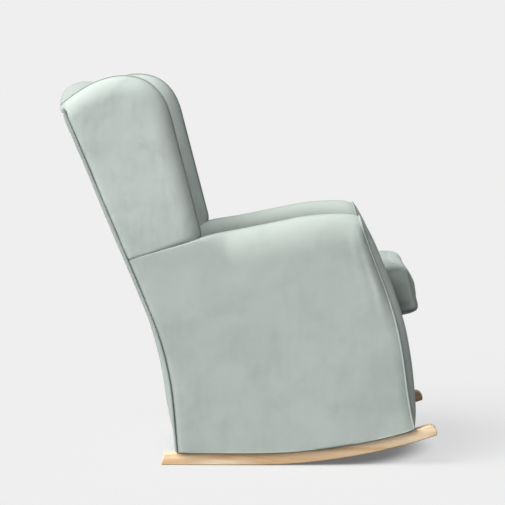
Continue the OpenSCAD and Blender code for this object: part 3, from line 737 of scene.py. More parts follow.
def rear_f(z):
    """The rear edge: an upright foot, a bend, then the straight lean of the back."""
    low_f = -foot_back - foot_lean * (bend_low - runner_t)
    span = bend_high - bend_low
    bent = np.clip((z - bend_low) / span, 0, 1)
    curve = low_f - foot_lean * bent * span - (back_lean - foot_lean) * span * bent ** 2 / 2
    foot = -foot_back - foot_lean * (z - runner_t)
    return np.where(z < bend_low, foot, curve - back_lean * np.maximum(z - bend_high, 0))


def bulge(x):
    return back_bulge * (1 - (x / half_w) ** 2)


def add_velvet_group():
    """Short-pile velvet: brushed patches, faint streaks down the pile, fine fibres."""
    group, take, give = new_group("velvet_pile", "ShaderNodeTree",
                                  (("Vector", "Vector"), ("Pile", "Color", (0.4, 0.45, 0.42, 1)),
                                   ("Pressed", "Color", (0.3, 0.34, 0.32, 1)), ("Crush", "Float", 0.0),
                                   ("Patch Amount", "Float", 0.3)), finish_sockets)
    patch = add(group, "ShaderNodeTexNoise", Scale=9.0, Detail=3.0, Roughness=0.45, Distortion=0.8)
    small = add(group, "ShaderNodeTexNoise", Scale=42.0, Detail=3.0, Roughness=0.5, Distortion=0.4)
    fibre = add(group, "ShaderNodeTexNoise", Scale=1100.0, Detail=2.0, Roughness=0.7)
    streak_map = group.nodes.new("ShaderNodeMapping")
    streak_map.inputs["Scale"].default_value = (60, 60, 5)
    streak = add(group, "ShaderNodeTexNoise", Scale=1.0, Detail=3.0, Roughness=0.6)
    for node in (patch, small, fibre, streak_map):
        link(group, take.outputs["Vector"], node.inputs["Vector"])
    link(group, streak_map.outputs[0], streak.inputs["Vector"])

    def scaled(source, low, high, to_low, to_high):
        return ranged(group, source.outputs["Fac"], From_Min=low, From_Max=high,
                      To_Min=to_low, To_Max=to_high)

    mottle_and_painted_shade = worked(group, "ADD",
                     worked(group, "ADD", scaled(patch, 0.35, 0.65, -0.55, 0.55),
                            scaled(small, 0.3, 0.7, -0.22, 0.22)),
                     worked(group, "ADD", scaled(streak, 0.3, 0.7, -0.16, 0.16),
                            scaled(fibre, 0.3, 0.7, -0.25, 0.25)))
    patches = worked(group, "MULTIPLY", mottle_and_painted_shade, take.outputs["Patch Amount"])
    patches_and_shade = worked(group, "ADD", patches, take.outputs["Crush"], clamp=True)
    link(group, mixed(group, patches_and_shade, take.outputs["Pile"], take.outputs["Pressed"]), give.inputs["Color"])
    link(group, scaled(small, 0.3, 0.7, 0.78, 0.92), give.inputs["Roughness"])
    height = worked(group, "ADD", fibre.outputs["Fac"], scaled(small, 0.2, 0.8, 0.0, 0.8))
    link(group, height, give.inputs["Height"])
    return group


velvet_group = add_velvet_group()
sage = (0.425, 0.475, 0.445)
sage_pressed = (0.27, 0.31, 0.287)


def velvet(name, pile=sage, pressed=sage_pressed, patches=0.24, sheen=0.32):
    """Velvet; a piece's attribute of that name, from 0 to 1, darkens its pile to the pressed tone, for
    pressed pile and for painted shade.
    """
    mat, tree, shader = new_material(name)
    where = tree.nodes.new("ShaderNodeTexCoord")
    pressed_and_shaded = tree.nodes.new("ShaderNodeAttribute")
    pressed_and_shaded.attribute_name = "pressed_and_shaded"
    cloth = tree.nodes.new("ShaderNodeGroup")
    cloth.node_tree = velvet_group
    cloth.inputs["Pile"].default_value = (*pile, 1)
    cloth.inputs["Pressed"].default_value = (*pressed, 1)
    cloth.inputs["Patch Amount"].default_value = patches
    link(tree, where.outputs["Object"], cloth.inputs["Vector"])
    link(tree, pressed_and_shaded.outputs["Fac"], cloth.inputs["Crush"])
    link(tree, cloth.outputs["Color"], shader.inputs["Base Color"])
    link(tree, cloth.outputs["Roughness"], shader.inputs["Roughness"])
    bumped(tree, shader, cloth.outputs["Height"], 0.00035)
    shader.inputs["Sheen Weight"].default_value = sheen
    shader.inputs["Sheen Roughness"].default_value = 0.42
    shader.inputs["Sheen Tint"].default_value = (0.86, 0.94, 0.90, 1)
    shader.inputs["Specular IOR Level"].default_value = 0.15
    return mat


def mark_pressed_and_shaded(mesh, values):
    """Marks where the pile is darkened, for pressed pile and for painted shade, one value to a vertex."""
    mark = mesh.attributes.new("pressed_and_shaded", "FLOAT", "POINT")
    mark.data.foreach_set("value", np.clip(values, 0, 1).astype(np.float32).reshape(-1))
    return mesh


def ripple(points, size, height, shift=0.0):
    """Soft unevenness of stuffed cloth: a smooth noise of that size and height at each point."""
    flat = points.reshape(-1, 3)
    values = [noise.noise(Vector(p) / size + Vector((shift, 2 * shift, 0))) for p in flat]
    return height * np.array(values).reshape(points.shape[:-1])


def pushed(grid, depth, inside):
    """Moves each point of a grid along its surface's normal, away from the inside point."""
    along = np.gradient(grid, axis=0)
    across = np.gradient(grid, axis=1)
    normal = np.cross(along, across)
    normal /= np.maximum(np.linalg.norm(normal, axis=2, keepdims=True), 1e-9)
    out = np.sum(normal * (grid - np.array(inside)), axis=2)
    normal *= np.sign(np.median(out))
    return grid + normal * depth[..., None]


def faced(mesh, way):
    """Turns a sheet's faces so that on the whole they look along Y, or against it for -1."""
    bm = bmesh.new()
    bm.from_mesh(mesh)
    if way * sum(face.normal.y for face in bm.faces) < 0:
        bmesh.ops.reverse_faces(bm, faces=bm.faces)
    bm.to_mesh(mesh)
    bm.free()
    return mesh


def ease(t):
    """A smooth step from 0 to 1."""
    t = np.clip(t, 0, 1)
    return t * t * (3 - 2 * t)


def uneven(count, ends=0.75):
    """Steps from 0 to 1 that crowd towards both ends."""
    t = np.linspace(0, 1, count)
    return (1 - ends) * t + ends * ease(t)


# a darker copy of the velvet for the outside back: painted shade, so its strongly lit face does not look
# too bright
shaded_back_velvet = velvet("outside_back_velvet", pile=(0.385, 0.43, 0.405),
                     pressed=(0.26, 0.295, 0.275), sheen=0.25)


def outside_back():
    reach = half_w - rear_pipe_d + 0.001
    low = above_sole(0, runner_t) + hem_gap
    z, x = np.meshgrid(low + (post_top - low) * uneven(110, 0.6), reach * (2 * uneven(96) - 1),
                       indexing="ij")
    swell = np.minimum(1, (z - low) / bend_low)
    swell = 1 - (1 - swell) ** 2
    side_gap = reach - np.abs(x)
    top_gap = post_top - z
    drawn = 0.0055 * np.exp(-side_gap / 0.007) + 0.006 * np.exp(-top_gap / 0.006)
    f = rear_f(z) - swell * bulge(x) + drawn
    grid = point(x, f, z)
    pulls = np.sin(np.pi * z / 0.034) * 0.0006 * np.exp(-side_gap / 0.030)
    grid = pushed(grid, ripple(grid, 0.16, 0.0020) + ripple(grid, 0.05, 0.0006, 3.1) + pulls,
                  (0, rock_line, 0.5))
    hem = grid[:1] + np.array([0, -0.016, 0.0004])
    turn = grid[:1] + np.array([0, -0.004, -0.0015])
    grid = np.concatenate([hem, turn, grid])
    mesh = quad_sheet("outside_back", grid)
    far_from_edges = np.full((2, grid.shape[1]), 0.02)
    gap = np.concatenate([far_from_edges, np.minimum(side_gap, top_gap)])
    # painted shade: the pile is darkened near the tacked side and top edges, where the cloth is drawn in
    mark_pressed_and_shaded(mesh, 0.75 * np.exp(-gap / 0.006))
    piece = put("outside_back_velvet", faced(mesh, 1), shaded_back_velvet)
    thickened(piece, back_cover_t)
    return smooth(piece, math.radians(50))


back_panel = outside_back()
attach(back_panel, "chair")
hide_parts("back_cover")

# Arms ---------------------------------------------------------------------------
# Each arm is covered by one velvet panel over wadding. It starts at the hem on
# the base rail, runs up the outer side, rolls over the arm's crest without a
# seam and goes down the inside to the seat. The wing stands on its rear part.

arm_t = 0.107
arm_cover_t = 0.005
shoulder_h = 0.603
wing_depth = 0.226
arm_slope = 0.2
wing_seam_slope = 0.3
arm_turn = 0.118
arm_tip_slope = -0.12
arm_top_f = 0.287
arm_foot_f = 0.434
arm_swell = 0.023
arm_roll = 0.045
outer_drop = 0.085
arm_in = half_w - arm_t
wing_f = float(rear_f(shoulder_h)) + wing_depth
back_t = 0.140
seat_slope = math.radians(15)
cushion_front_f = 0.452
cushion_front_z = 0.408


def crest_z(f):
    """Height of the arm's crest, and behind the wing's front edge of the seam under the wing."""
    past = np.maximum(f - arm_turn, 0)
    rise = arm_slope * (np.minimum(f, arm_turn) - wing_f) + arm_slope * past
    level = (arm_tip_slope - arm_slope) * past ** 2 / (2 * (arm_top_f - arm_turn))
    crest = shoulder_h + rise + level
    return np.where(f < wing_f, shoulder_h + wing_seam_slope * (f - wing_f), crest)


arm_foot_z = float(above_sole(arm_foot_f, runner_t)) + hem_gap
arm_top_z = float(crest_z(arm_top_f))


def front_f(z):
    """The arm's front edge, swelling a little past a straight line."""
    t = (z - arm_foot_z) / (arm_top_z - arm_foot_z)
    swell = arm_swell * np.sin(math.pi * np.clip(t, 0, 1)) ** 2
    return arm_foot_f + (arm_top_f - arm_foot_f) * t + swell


def deck_z(f):
    return cushion_front_z + (f - cushion_front_f) * math.tan(seat_slope)


def patch(low, high, rear, front):
    """Fills a four-sided outline: low and high run forward, rear and front run up, as (n, 2) points."""
    u = np.linspace(0, 1, len(low))[None, :, None]
    v = np.linspace(0, 1, len(rear))[:, None, None]
    across = (1 - v) * low[None] + v * high[None]
    up = (1 - u) * rear[:, None] + u * front[:, None]
    corners = ((1 - u) * (1 - v) * low[0] + u * (1 - v) * low[-1]
               + (1 - u) * v * high[0] + u * v * high[-1])
    return across + up - corners


def solve(where, low, high):
    """The place between low and high where a rising function is 0."""
    for _ in range(40):
        middle = (low + high) / 2
        low, high = (middle, high) if where(middle) < 0 else (low, middle)
    return (low + high) / 2


# beside the front piping the panel rolls in, most of all below the crest
roll_in = 0.0175
roll_in_low = 0.0050
roll_in_width = 0.030


def roll_window(z):
    return ease((z - 0.34) / 0.14) * ease((arm_top_z - 0.012 - z) / 0.05)


def seam_fade(f):
    """How hard the cloth is drawn in at the wing's seam: from 0 at its rear to 1 at its front."""
    return ease((f - wing_f + 0.17) / 0.13)


# where the seam under the wing meets the rear piping
seam_rear_z = solve(lambda z: z - float(crest_z(float(rear_f(z)) + rear_pipe_d)), 0.4, 0.6)


def arm_panel():
    n_along, n_up, n_inside, n_roll = 130, 80, 44, 16
    forward = 1 - (1 - np.linspace(0, 1, n_along)) ** 1.35
    top_rear_f = float(rear_f(seam_rear_z)) + rear_pipe_d
    top_f = top_rear_f + (arm_top_f - top_rear_f) * forward
    top_z = crest_z(top_f)
    opened = ease((top_f - wing_f + 0.012) / 0.085)
    tucked = 0.0030 + 0.0030 * seam_fade(top_f)
    outer_r = tucked + (arm_roll - tucked) * opened
    outer_h = tucked + (outer_drop - tucked) * opened
    inner_r = 0.038

    # outer side, from the hem to where the roll starts
    low_z = float(above_sole(0, runner_t)) + hem_gap
    low_rear_f = float(rear_f(low_z)) + rear_pipe_d
    low_f = low_rear_f + (arm_foot_f - low_rear_f) * forward
    low = np.stack([low_f, above_sole(low_f, runner_t) + hem_gap], axis=1)
    roll_z = top_z - outer_h
    roll_f = top_f + (front_f(roll_z) - arm_top_f) * forward ** 6
    high = np.stack([roll_f, roll_z], axis=1)
    up = uneven(n_up, 0.5)
    rear_z = low_z + (roll_z[0] - low_z) * up
    front_z = arm_foot_z + (roll_z[-1] - arm_foot_z) * up
    rear = np.stack([rear_f(rear_z) + rear_pipe_d, rear_z], axis=1)
    front = np.stack([front_f(front_z), front_z], axis=1)
    side = patch(low, high, rear, front)
    outer = point(half_w, side[..., 0], side[..., 1])

    # over the crest and down to the inner side
    shorter = (wing_f - top_rear_f - 0.09) / (wing_f - top_rear_f)
    inner_f = np.where(top_f < wing_f, wing_f + (top_f - wing_f) * shorter, top_f)
    turn = np.linspace(0, quarter, n_roll + 1)[1:, None]
    start_f = roll_f + (top_f - roll_f) * np.sin(turn) + 0.010 * np.sin(turn) * (1 - forward) ** 12
    over = point(half_w - outer_r * (1 - np.cos(turn)), start_f,
                 roll_z + outer_h * np.sin(turn))
    flat_share = np.linspace(0, 1, 7)[1:-1, None]
    flat_x0 = half_w - outer_r
    flat = point(flat_x0 + (arm_in + inner_r - flat_x0) * flat_share,
                 start_f[-1] + (inner_f - start_f[-1]) * flat_share, top_z)
    inner_low = top_z - inner_r
    inner_low_f = inner_f + (front_f(inner_low) - arm_top_f) * forward ** 6
    under = point(arm_in + inner_r * (1 - np.sin(turn)),
                  inner_f + (inner_low_f - inner_f) * (1 - np.cos(turn)),
                  inner_low + inner_r * np.cos(turn))

    # down the inner side to behind the seat deck
    deck_rear = solve(lambda f: float(deck_z(f)) - 0.012 - deck_line(f), -0.32, 0.0)
    deck_front = solve(lambda f: f - float(front_f(deck_z(f) - 0.012)), 0.2, 0.5)
    deck_f = deck_rear + (deck_front - deck_rear) * forward
    base = np.stack([deck_f, deck_z(deck_f) - 0.012], axis=1)
    head = np.stack([inner_low_f, inner_low], axis=1)
    down = np.linspace(0, 1, n_inside)
    rz = inner_low[0] + (base[0, 1] - inner_low[0]) * down
    fz = inner_low[-1] + (base[-1, 1] - inner_low[-1]) * down
    rear_in = np.stack([head[0, 0] + (base[0, 0] - head[0, 0]) * down, rz], axis=1)
    front_in = np.stack([front_f(fz), fz], axis=1)
    inside = patch(head, base, rear_in, front_in)
    inner = point(arm_in, inside[1:, :, 0], inside[1:, :, 1])

    hem = outer[:1] + np.array([-0.013, 0, 0.0005])
    fold = outer[:1] + np.array([-0.003, 0, -0.0012])
    start = point(np.full(n_along, arm_in + inner_r), inner_f, top_z)[None]
    grid = np.concatenate([hem, fold, outer, over, flat, start, under, inner])
    n_rows = len(grid)
    # rows count from the hem: its two turned ones, the side, then the roll over the crest
    half_rolled = 2 + n_up + n_roll // 2
    fully_rolled = 2 + n_up + n_roll

    # where the cloth is drawn in: the front edge, the seam under the wing, the rear edge and the hem
    f = rock_line - grid[:, :, 1]
    z = grid[:, :, 2]
    front_gap = grid[:, :, 1] - grid[:, -1:, 1]
    window = roll_window(z)
    is_outer = np.zeros((n_rows, 1))
    is_outer[:half_rolled] = 1
    edge_roll = np.clip(1 - front_gap / roll_in_width, 0, 1) ** 2.2
    drawn = (roll_in_low + (roll_in - roll_in_low) * window * is_outer) * edge_roll
    rear_gap = grid[:, :1, 1] - grid[:, :, 1]
    rows = np.arange(n_rows)[:, None]
    tuck = 0.0055 * np.exp(-rear_gap / 0.006) * (rows < fully_rolled)
    seam_gap = np.abs(crest_z(f) - z)
    under_wing = ease((wing_f + 0.012 - f) / 0.02) * (rows < fully_rolled)
    fade = seam_fade(f)
    seam = 0.0018 * fade * under_wing * np.exp(-seam_gap / 0.006)
    soft = ripple(grid, 0.15, 0.0018, 1.7) + ripple(grid, 0.045, 0.0004, 4.2)
    soft = soft * (1 - under_wing * np.exp(-seam_gap / 0.03))
    lean = np.sin(2 * math.pi * (front_gap / 0.034 + 0.35 * z / 0.1)) * 0.0010 * window * is_outer
    lean *= np.exp(-np.abs(front_gap - 0.030) / 0.022)
    edge = np.ones((n_rows, 1))
    edge[:3] = 0
    depth = (soft + lean) * edge * (1 - np.exp(-front_gap / 0.015)) - drawn - seam
    grid = pushed(grid, depth, (half_w - arm_t / 2, rock_line, 0.35))
    grid[..., 0] -= tuck
    grid[:2, :, 0] = np.minimum(grid[:2, :, 0], half_w - 0.002)
    mesh = quad_sheet("arm", grid)
    # painted shade: the pile is darkened beside the front piping and where the panel rolls in there, along
    # the seam under the wing, at the rear edge, and a little towards the front and low down
    mottle_and_painted_shade = is_outer * (0.10 * ease((0.36 - front_gap) / 0.36) + 0.10 * ease((0.52 - z) / 0.25))
    mark_pressed_and_shaded(mesh, 0.45 * np.exp(-front_gap / 0.004) + 0.8 * fade * under_wing * np.exp(-seam_gap / 0.003)
            + 0.5 * np.exp(-rear_gap / 0.004) * is_outer + mottle_and_painted_shade + 0.45 * window * is_outer * edge_roll)
    return mesh


def deck_line(f):
    """Height on the inside back's face at f, well inside its padding."""
    return float(solve(lambda z: f - (float(rear_f(z)) + back_t - 0.035), 0.1, 0.5))


def outer_side_out(mesh):
    """Turns the arm panel's faces so that its outer side looks away from the seat."""
    bm = bmesh.new()
    bm.from_mesh(mesh)
    side = [face for face in bm.faces
            if abs(face.normal.x) > 0.8 and face.calc_center_median().x > half_w - 0.02]
    if sum(face.normal.x * face.calc_area() for face in side) < 0:
        bmesh.ops.reverse_faces(bm, faces=bm.faces)
    bm.to_mesh(mesh)
    bm.free()
    return mesh


sage_velvet = velvet("sage_velvet")
arm_left = put("arm_left_velvet", outer_side_out(arm_panel()), sage_velvet)
thickened(arm_left, arm_cover_t)
smooth(arm_left, math.radians(60))
for piece, side in ((arm_left, "left"), (mirrored(arm_left, "arm_right_velvet"), "right")):
    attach(piece, "chair")
    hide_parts(f"side_cover_{side}", f"inner_arm_pad_{side}", f"arm_top_pad_{side}")

# Arm fronts ---------------------------------------------------------------------
# A narrow padded panel closes the front of each arm. It is stuffed to a dome,
# rounded at its top like the arm's roll, and set inside the piping.

front_dome = 0.021
front_pipe_d = 0.006


def outward(mesh):
    """Turns a closed mesh's faces outward."""
    bm = bmesh.new()
    bm.from_mesh(mesh)
    bmesh.ops.recalc_face_normals(bm, faces=bm.faces)
    bm.to_mesh(mesh)
    bm.free()
    return mesh


def front_sink(z):
    """How far the panel's edge lies inside the arm's full width, beside the outer piping."""
    return 0.001 + (roll_in - roll_in_low) * roll_window(z)


def arm_front():
    x0 = arm_in + front_pipe_d
    x1 = half_w - front_pipe_d
    top = arm_top_z - front_pipe_d
    radius = arm_roll - front_pipe_d
    drop = outer_drop - front_pipe_d
    bend = np.linspace(0, quarter, 24)
    z = np.concatenate([np.linspace(arm_foot_z + 0.001, top - drop, 84)[:-1],
                        top - drop + drop * np.sin(bend)])

    def cut(height):
        up = np.clip((z - top + height) / height, 0, 1)
        return radius * (1 - np.sqrt(1 - up ** 2))

    outer_x = x1 - cut(drop) - front_sink(z)
    inner_x = x0 + cut(radius)
    centre = (outer_x + inner_x) / 2
    width = (outer_x - inner_x) / 2
    u = 2 * uneven(27, 0.9) - 1
    t = np.clip((z - arm_foot_z) / (arm_top_z - arm_foot_z), 0, 1)
    lengthways = 1 - (2 * t - 1) ** 6
    crown = front_dome * np.outer(1 - np.abs(u) ** 2.6, lengthways)
    crown += 0.003 * np.outer(1 - u ** 8, np.ones_like(z))
    face = point(centre + np.outer(u, width), front_f(z)[None] - 0.003 + crown, z[None])
    face = pushed(face, ripple(face, 0.07, 0.0010, 6.0) * (crown / front_dome), (x0, rock_line, 0.3))
    back = point(centre + np.outer(u[::-1], width) * 0.98, front_f(z)[None] - 0.011, z[None])
    mesh = quad_sheet("arm_front", np.concatenate([face, back]), shut_rows=True, caps=True)
    # painted shade: the face's pile is darkened along both long edges beside the piping, and its hidden
    # back fully
    press_and_shade = np.concatenate([np.outer(np.exp(-(1 - np.abs(u)) * (x1 - x0) / 0.006), np.ones_like(z)),
                            np.ones((len(u), len(z)))])
    return outward(mark_pressed_and_shaded(mesh, 0.5 * press_and_shade))


# a paler copy of the sage velvet for the wings and the arm fronts: painted light, so they look brighter
# than the arms
lit_velvet_copy = velvet("lit_velvet_copy", pile=(0.49, 0.545, 0.515), pressed=(0.31, 0.355, 0.33),
                       patches=0.45, sheen=0.24)
front_left = smooth(put("arm_front_left_velvet", arm_front(), lit_velvet_copy), math.radians(60))
for piece, side in ((front_left, "left"), (mirrored(front_left, "arm_front_right_velvet"), "right")):
    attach(piece, "chair")
    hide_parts(f"arm_front_pad_{side}")

# Piping -------------------------------------------------------------------------
# Bias-cut velvet folded round a cord and sewn in between two panels: round each
# arm's front, and down each rear corner of the chair.


def add_piping_tree():
    """Covered cord along a line, with the slight waist that each stitch pulls in it."""
    tree, take, give = new_group("covered_cord", "GeometryNodeTree",
                                 (("Geometry", "Geometry"), ("Diameter", "Float"), ("Stitch", "Float"),
                                  ("Waist", "Float"), ("Material", "Material")),
                                 (("Geometry", "Geometry"),))
    tree.is_modifier = True
    # every third point of the line is a stitch, where the cord is waisted
    line = tree.nodes.new("GeometryNodeMeshToCurve")
    spaced = tree.nodes.new("GeometryNodeResampleCurve")
    spaced.mode = "LENGTH"
    index = tree.nodes.new("GeometryNodeInputIndex")
    is_waist = tree.nodes.new("FunctionNodeCompare")
    is_waist.data_type = "FLOAT"
    is_waist.operation = "LESS_THAN"
    is_waist.inputs["B"].default_value = 0.5
    section = tree.nodes.new("GeometryNodeCurvePrimitiveCircle")
    section.inputs["Resolution"].default_value = 14
    section.inputs["Radius"].default_value = 1.0
    sweep = tree.nodes.new("GeometryNodeCurveToMesh")
    sweep.inputs["Fill Caps"].default_value = True
    soft = tree.nodes.new("GeometryNodeSetShadeSmooth")
    real = tree.nodes.new("GeometryNodeRealizeInstances")
    paint = tree.nodes.new("GeometryNodeSetMaterial")
    link(tree, take.outputs["Geometry"], line.inputs["Mesh"])
    link(tree, line.outputs[0], spaced.inputs["Curve"])
    link(tree, worked(tree, "DIVIDE", take.outputs["Stitch"], 3.0), spaced.inputs["Length"])
    link(tree, worked(tree, "MODULO", index.outputs[0], 3.0), is_waist.inputs["A"])
    shrink = worked(tree, "MULTIPLY", is_waist.outputs[0], take.outputs["Waist"])
    half = worked(tree, "MULTIPLY", take.outputs["Diameter"], 0.5)
    radius = worked(tree, "MULTIPLY", half, worked(tree, "SUBTRACT", 1.0, shrink))
    link(tree, spaced.outputs[0], sweep.inputs["Curve"])
    link(tree, section.outputs["Curve"], sweep.inputs["Profile Curve"])
    link(tree, radius, sweep.inputs["Scale"])
    link(tree, sweep.outputs[0], soft.inputs[0])
    link(tree, soft.outputs[0], real.inputs[0])
    link(tree, real.outputs[0], paint.inputs["Geometry"])
    link(tree, take.outputs["Material"], paint.inputs["Material"])
    link(tree, paint.outputs[0], give.inputs[0])
    return tree


piping_tree = add_piping_tree()
# a darker copy of the velvet for the piping: painted shade, so it does not stand out too bright where it
# catches the light
piping_velvet = velvet("piping_velvet", pile=(0.37, 0.415, 0.39), patches=0.22, sheen=0.24)


def arm_front_line():
    """Up the outer edge of the arm's front, over its top and down the inside to the seat."""
    r = front_pipe_d / 2
    turn = arm_roll - r
    drop = outer_drop - r
    top = arm_top_z - r
    seat = solve(lambda f: f - float(front_f(deck_z(f))), 0.2, 0.5)
    first = np.linspace(0, quarter, 30)[1:]
    last = np.linspace(quarter, 0, 14)[:-1]
    n_outer, n_inner = 60, 40
    outer_z = np.concatenate([np.linspace(arm_foot_z + r, top - drop, n_outer),
                              top - drop + drop * np.sin(first)])
    outer_turn = np.concatenate([np.zeros(n_outer), first])
    outer_x = half_w - r - turn * (1 - np.cos(outer_turn)) - front_sink(outer_z)
    inner_z = np.concatenate([top - turn + turn * np.sin(last),
                              np.linspace(top - turn, float(deck_z(seat)) + r, n_inner)])
    inner_turn = np.concatenate([last, np.zeros(n_inner)])
    inner_x = arm_in + r + 0.001 + turn * (1 - np.cos(inner_turn))
    z = np.concatenate([outer_z, inner_z])
    return point(np.concatenate([outer_x, inner_x]), front_f(z) - r + 0.001, z)


def rear_line():
    r = rear_pipe_d / 2
    z = np.linspace(runner_t + hem_gap + r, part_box("rear_piping_left")[1].z - r, 150)
    return point(half_w - r, rear_f(z) + r, z)


for part, path, diameter in (("arm_front_piping", arm_front_line(), front_pipe_d),
                             ("rear_piping", rear_line(), rear_pipe_d - 0.0008)):
    for side, sign in (("left", 1), ("right", -1)):
        line = line_mesh(part, [path * np.array([sign, 1, 1])])
        piece = grown(f"{part}_{side}_velvet", line, piping_tree,
                      Diameter=diameter, Stitch=0.0045, Waist=0.05, Material=piping_velvet)
        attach(piece, "chair")
        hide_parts(f"{part}_{side}")

# Wings --------------------------------------------------------------------------
# A wing is a board padded on both faces. An outer and an inner velvet panel
# meet in one seam along the middle of its rolled front and top edge.

chair_h = cad_box[1].z
wing_t = 0.070
wing_in = half_w - wing_t
wing_corner = 0.108
wing_top_back = 0.197
wing_rear_drop = 0.076
wing_lean = math.tan(math.radians(14.4))
wing_roll_r = wing_t / 2
wing_roll_w = 0.052


def bezier(p0, p1, p2, p3, count):
    t = np.linspace(0, 1, count)[:, None]
    p0, p1, p2, p3 = (np.array(p) for p in (p0, p1, p2, p3))
    return (1 - t) ** 3 * p0 + 3 * t * (1 - t) ** 2 * p1 + 3 * t * t * (1 - t) * p2 + t ** 3 * p3


def wing_outline():
    """From the wing's lower front corner up its front edge and back along its top, as (f, z)."""
    z0 = chair_h - wing_corner
    side = np.array((wing_f - wing_lean * (z0 - shoulder_h), z0))
    top = np.array((float(rear_f(chair_h)) + wing_top_back, chair_h))
    rear_z = chair_h - wing_rear_drop
    rear = np.array((float(rear_f(rear_z)), rear_z))
    low_z = np.linspace(shoulder_h - 0.030, z0, 60)[:-1]
    edge = np.stack([wing_f - wing_lean * (low_z - shoulder_h), low_z], axis=1)
    shift = 0.006 * ease((shoulder_h + 0.018 - low_z) / 0.03)
    edge[:, 0] -= shift
    corner = bezier(side, side + wing_corner * np.array((-0.18, 0.7)),
                    top + wing_corner * np.array((0.55, 0)), top, 60)
    crown = bezier(top, top - wing_corner * np.array((0.55, 0)),
                   rear + wing_corner * np.array((0.42, 0.36)), rear, 50)
    return np.concatenate([edge, corner[:-1], crown])


def along(line, shares):
    """Points of a line at those shares of its length."""
    run = np.concatenate([[0], np.linalg.norm(np.diff(line, axis=0), axis=1).cumsum()])
    return np.stack([np.interp(shares * run[-1], run, line[:, k]) for k in (0, 1)], axis=1)


def gap_to(points, line):
    """Distance from each point to a line, both as (f, z)."""
    a, b = line[:-1], line[1:]
    way = b - a
    flat = points.reshape(-1, 1, 2)
    t = np.clip(np.sum((flat - a) * way, axis=2) / np.sum(way * way, axis=1), 0, 1)
    near = a + t[..., None] * way
    return np.linalg.norm(flat - near, axis=2).min(axis=1).reshape(points.shape[:-1])


def wing():
    n_along, n_flat, n_roll = 120, 34, 14
    shares = np.linspace(0, 1, n_along)
    line = wing_outline()
    edge = along(line, shares)
    rear_z = np.linspace(seam_rear_z - 0.010, chair_h - wing_rear_drop - 0.012, 200)
    rear = along(np.stack([rear_f(rear_z) + rear_pipe_d, rear_z], axis=1), shares)
    reach = np.linalg.norm(edge - rear, axis=1)
    turn = np.linspace(0, quarter, n_roll)
    roll = wing_roll_w * (1 - np.cos(turn))
    # a row lies a share of the way from the edge to the rear, and the roll takes half at the most
    rolled = [np.minimum(inset / reach, 0.5 * k / n_roll + 0.001) for k, inset in enumerate(roll)]
    roll_end = np.minimum(wing_roll_w / reach, 0.5)
    flat = [roll_end + (1 - roll_end) * step for step in np.linspace(0, 1, n_flat + 1)[1:]]
    half = np.array([edge + (rear - edge) * share[:, None] for share in rolled + flat])
    gap = gap_to(half, line)
    inside = np.clip(1 - gap / wing_roll_w, 0, 1)
    fall = wing_roll_r * (1 - np.sqrt(1 - inside ** 2))
    low_gap = half[..., 1] - crest_z(half[..., 0])
    behind = half[..., 0] - rear_f(half[..., 1]) - rear_pipe_d
    # the outer face is drawn in at the rear piping and at the seam on the arm, and goes on inside the arm
    fade = seam_fade(half[..., 0])
    seam = 0.0024 * fade * np.exp(-np.maximum(low_gap, 0) / 0.007)
    inward = np.where(low_gap < 0, np.minimum(0.0012 - low_gap * 0.9, 0.016), 0)
    tuck = 0.0055 * np.exp(-np.maximum(behind, 0) / 0.006)
    outer = point(half_w - np.maximum(fall, inward) - seam - tuck, half[..., 0], half[..., 1])
    crown = 0.006 * np.exp(-((gap - 0.055) / 0.030) ** 2)
    inner = point(wing_in + fall - crown, half[..., 0], half[..., 1])
    # the seam itself is pulled into the edge
    sink = 0.0022 * np.exp(-gap / 0.0022)
    way = (rear - edge) / reach[:, None]
    towards = np.stack([np.zeros(n_along), -way[:, 0], way[:, 1]], axis=1)
    outer += towards * sink[..., None]
    inner += towards * sink[..., None]
    soft = (ripple(outer, 0.11, 0.0022, 8.3) + ripple(outer, 0.04, 0.0006, 2.9)) * (1 - np.exp(-gap / 0.02))
    core = ((half_w + wing_in) / 2, rock_line + 0.3, 0.8)
    outer = pushed(outer, soft * ease(low_gap / 0.05), core)
    inner = pushed(inner, ripple(inner, 0.10, 0.0022, 5.5) * (1 - np.exp(-gap / 0.02)), core)
    grid = np.concatenate([outer[::-1], inner[1:]])
    mesh = quad_sheet("wing", grid, shut_rows=True, caps=True)
    # painted shade: the pile is darkened towards the bottom of the wing, at its seam on the arm, at the
    # rear piping and along its front seam
    mottle_and_painted_shade = 0.30 * ease((0.80 - half[..., 1]) / 0.20) - 0.10
    press_and_shade = (0.85 * fade * np.exp(-np.abs(low_gap) / 0.003) + 0.5 * np.exp(-np.maximum(behind, 0) / 0.004)
             + np.maximum(mottle_and_painted_shade, 0))
    seam_press_and_shade = 0.6 * np.exp(-gap / 0.0022)
    mark_pressed_and_shaded(mesh, np.concatenate([(press_and_shade + seam_press_and_shade)[::-1], seam_press_and_shade[1:]]))
    return outward(mesh)


wing_left = smooth(put("wing_left_velvet", wing(), lit_velvet_copy), math.radians(75))
for piece, side in ((wing_left, "left"), (mirrored(wing_left, "wing_right_velvet"), "right")):
    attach(piece, "chair")
    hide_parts(f"wing_cover_{side}", f"wing_pad_{side}")

wing_edge = wing_outline()
wing_edge = wing_edge[wing_edge[:, 1] > shoulder_h - 0.004]
for side, sign in (("left", 1), ("right", -1)):
    ridge = point(sign * (half_w - wing_roll_r), wing_edge[:, 0] - 0.0008, wing_edge[:, 1] - 0.0006)
    seam = grown(f"wing_seam_{side}", line_mesh("wing_seam", [ridge]), piping_tree,
                 Diameter=0.0034, Stitch=0.0036, Waist=0.22, Material=piping_velvet)
    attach(seam, "chair")

# Inside back --------------------------------------------------------------------
# The padded back between the arms and the wings, in one piece with the arched
# roll that goes over its top and ends in the seam with the outside back.

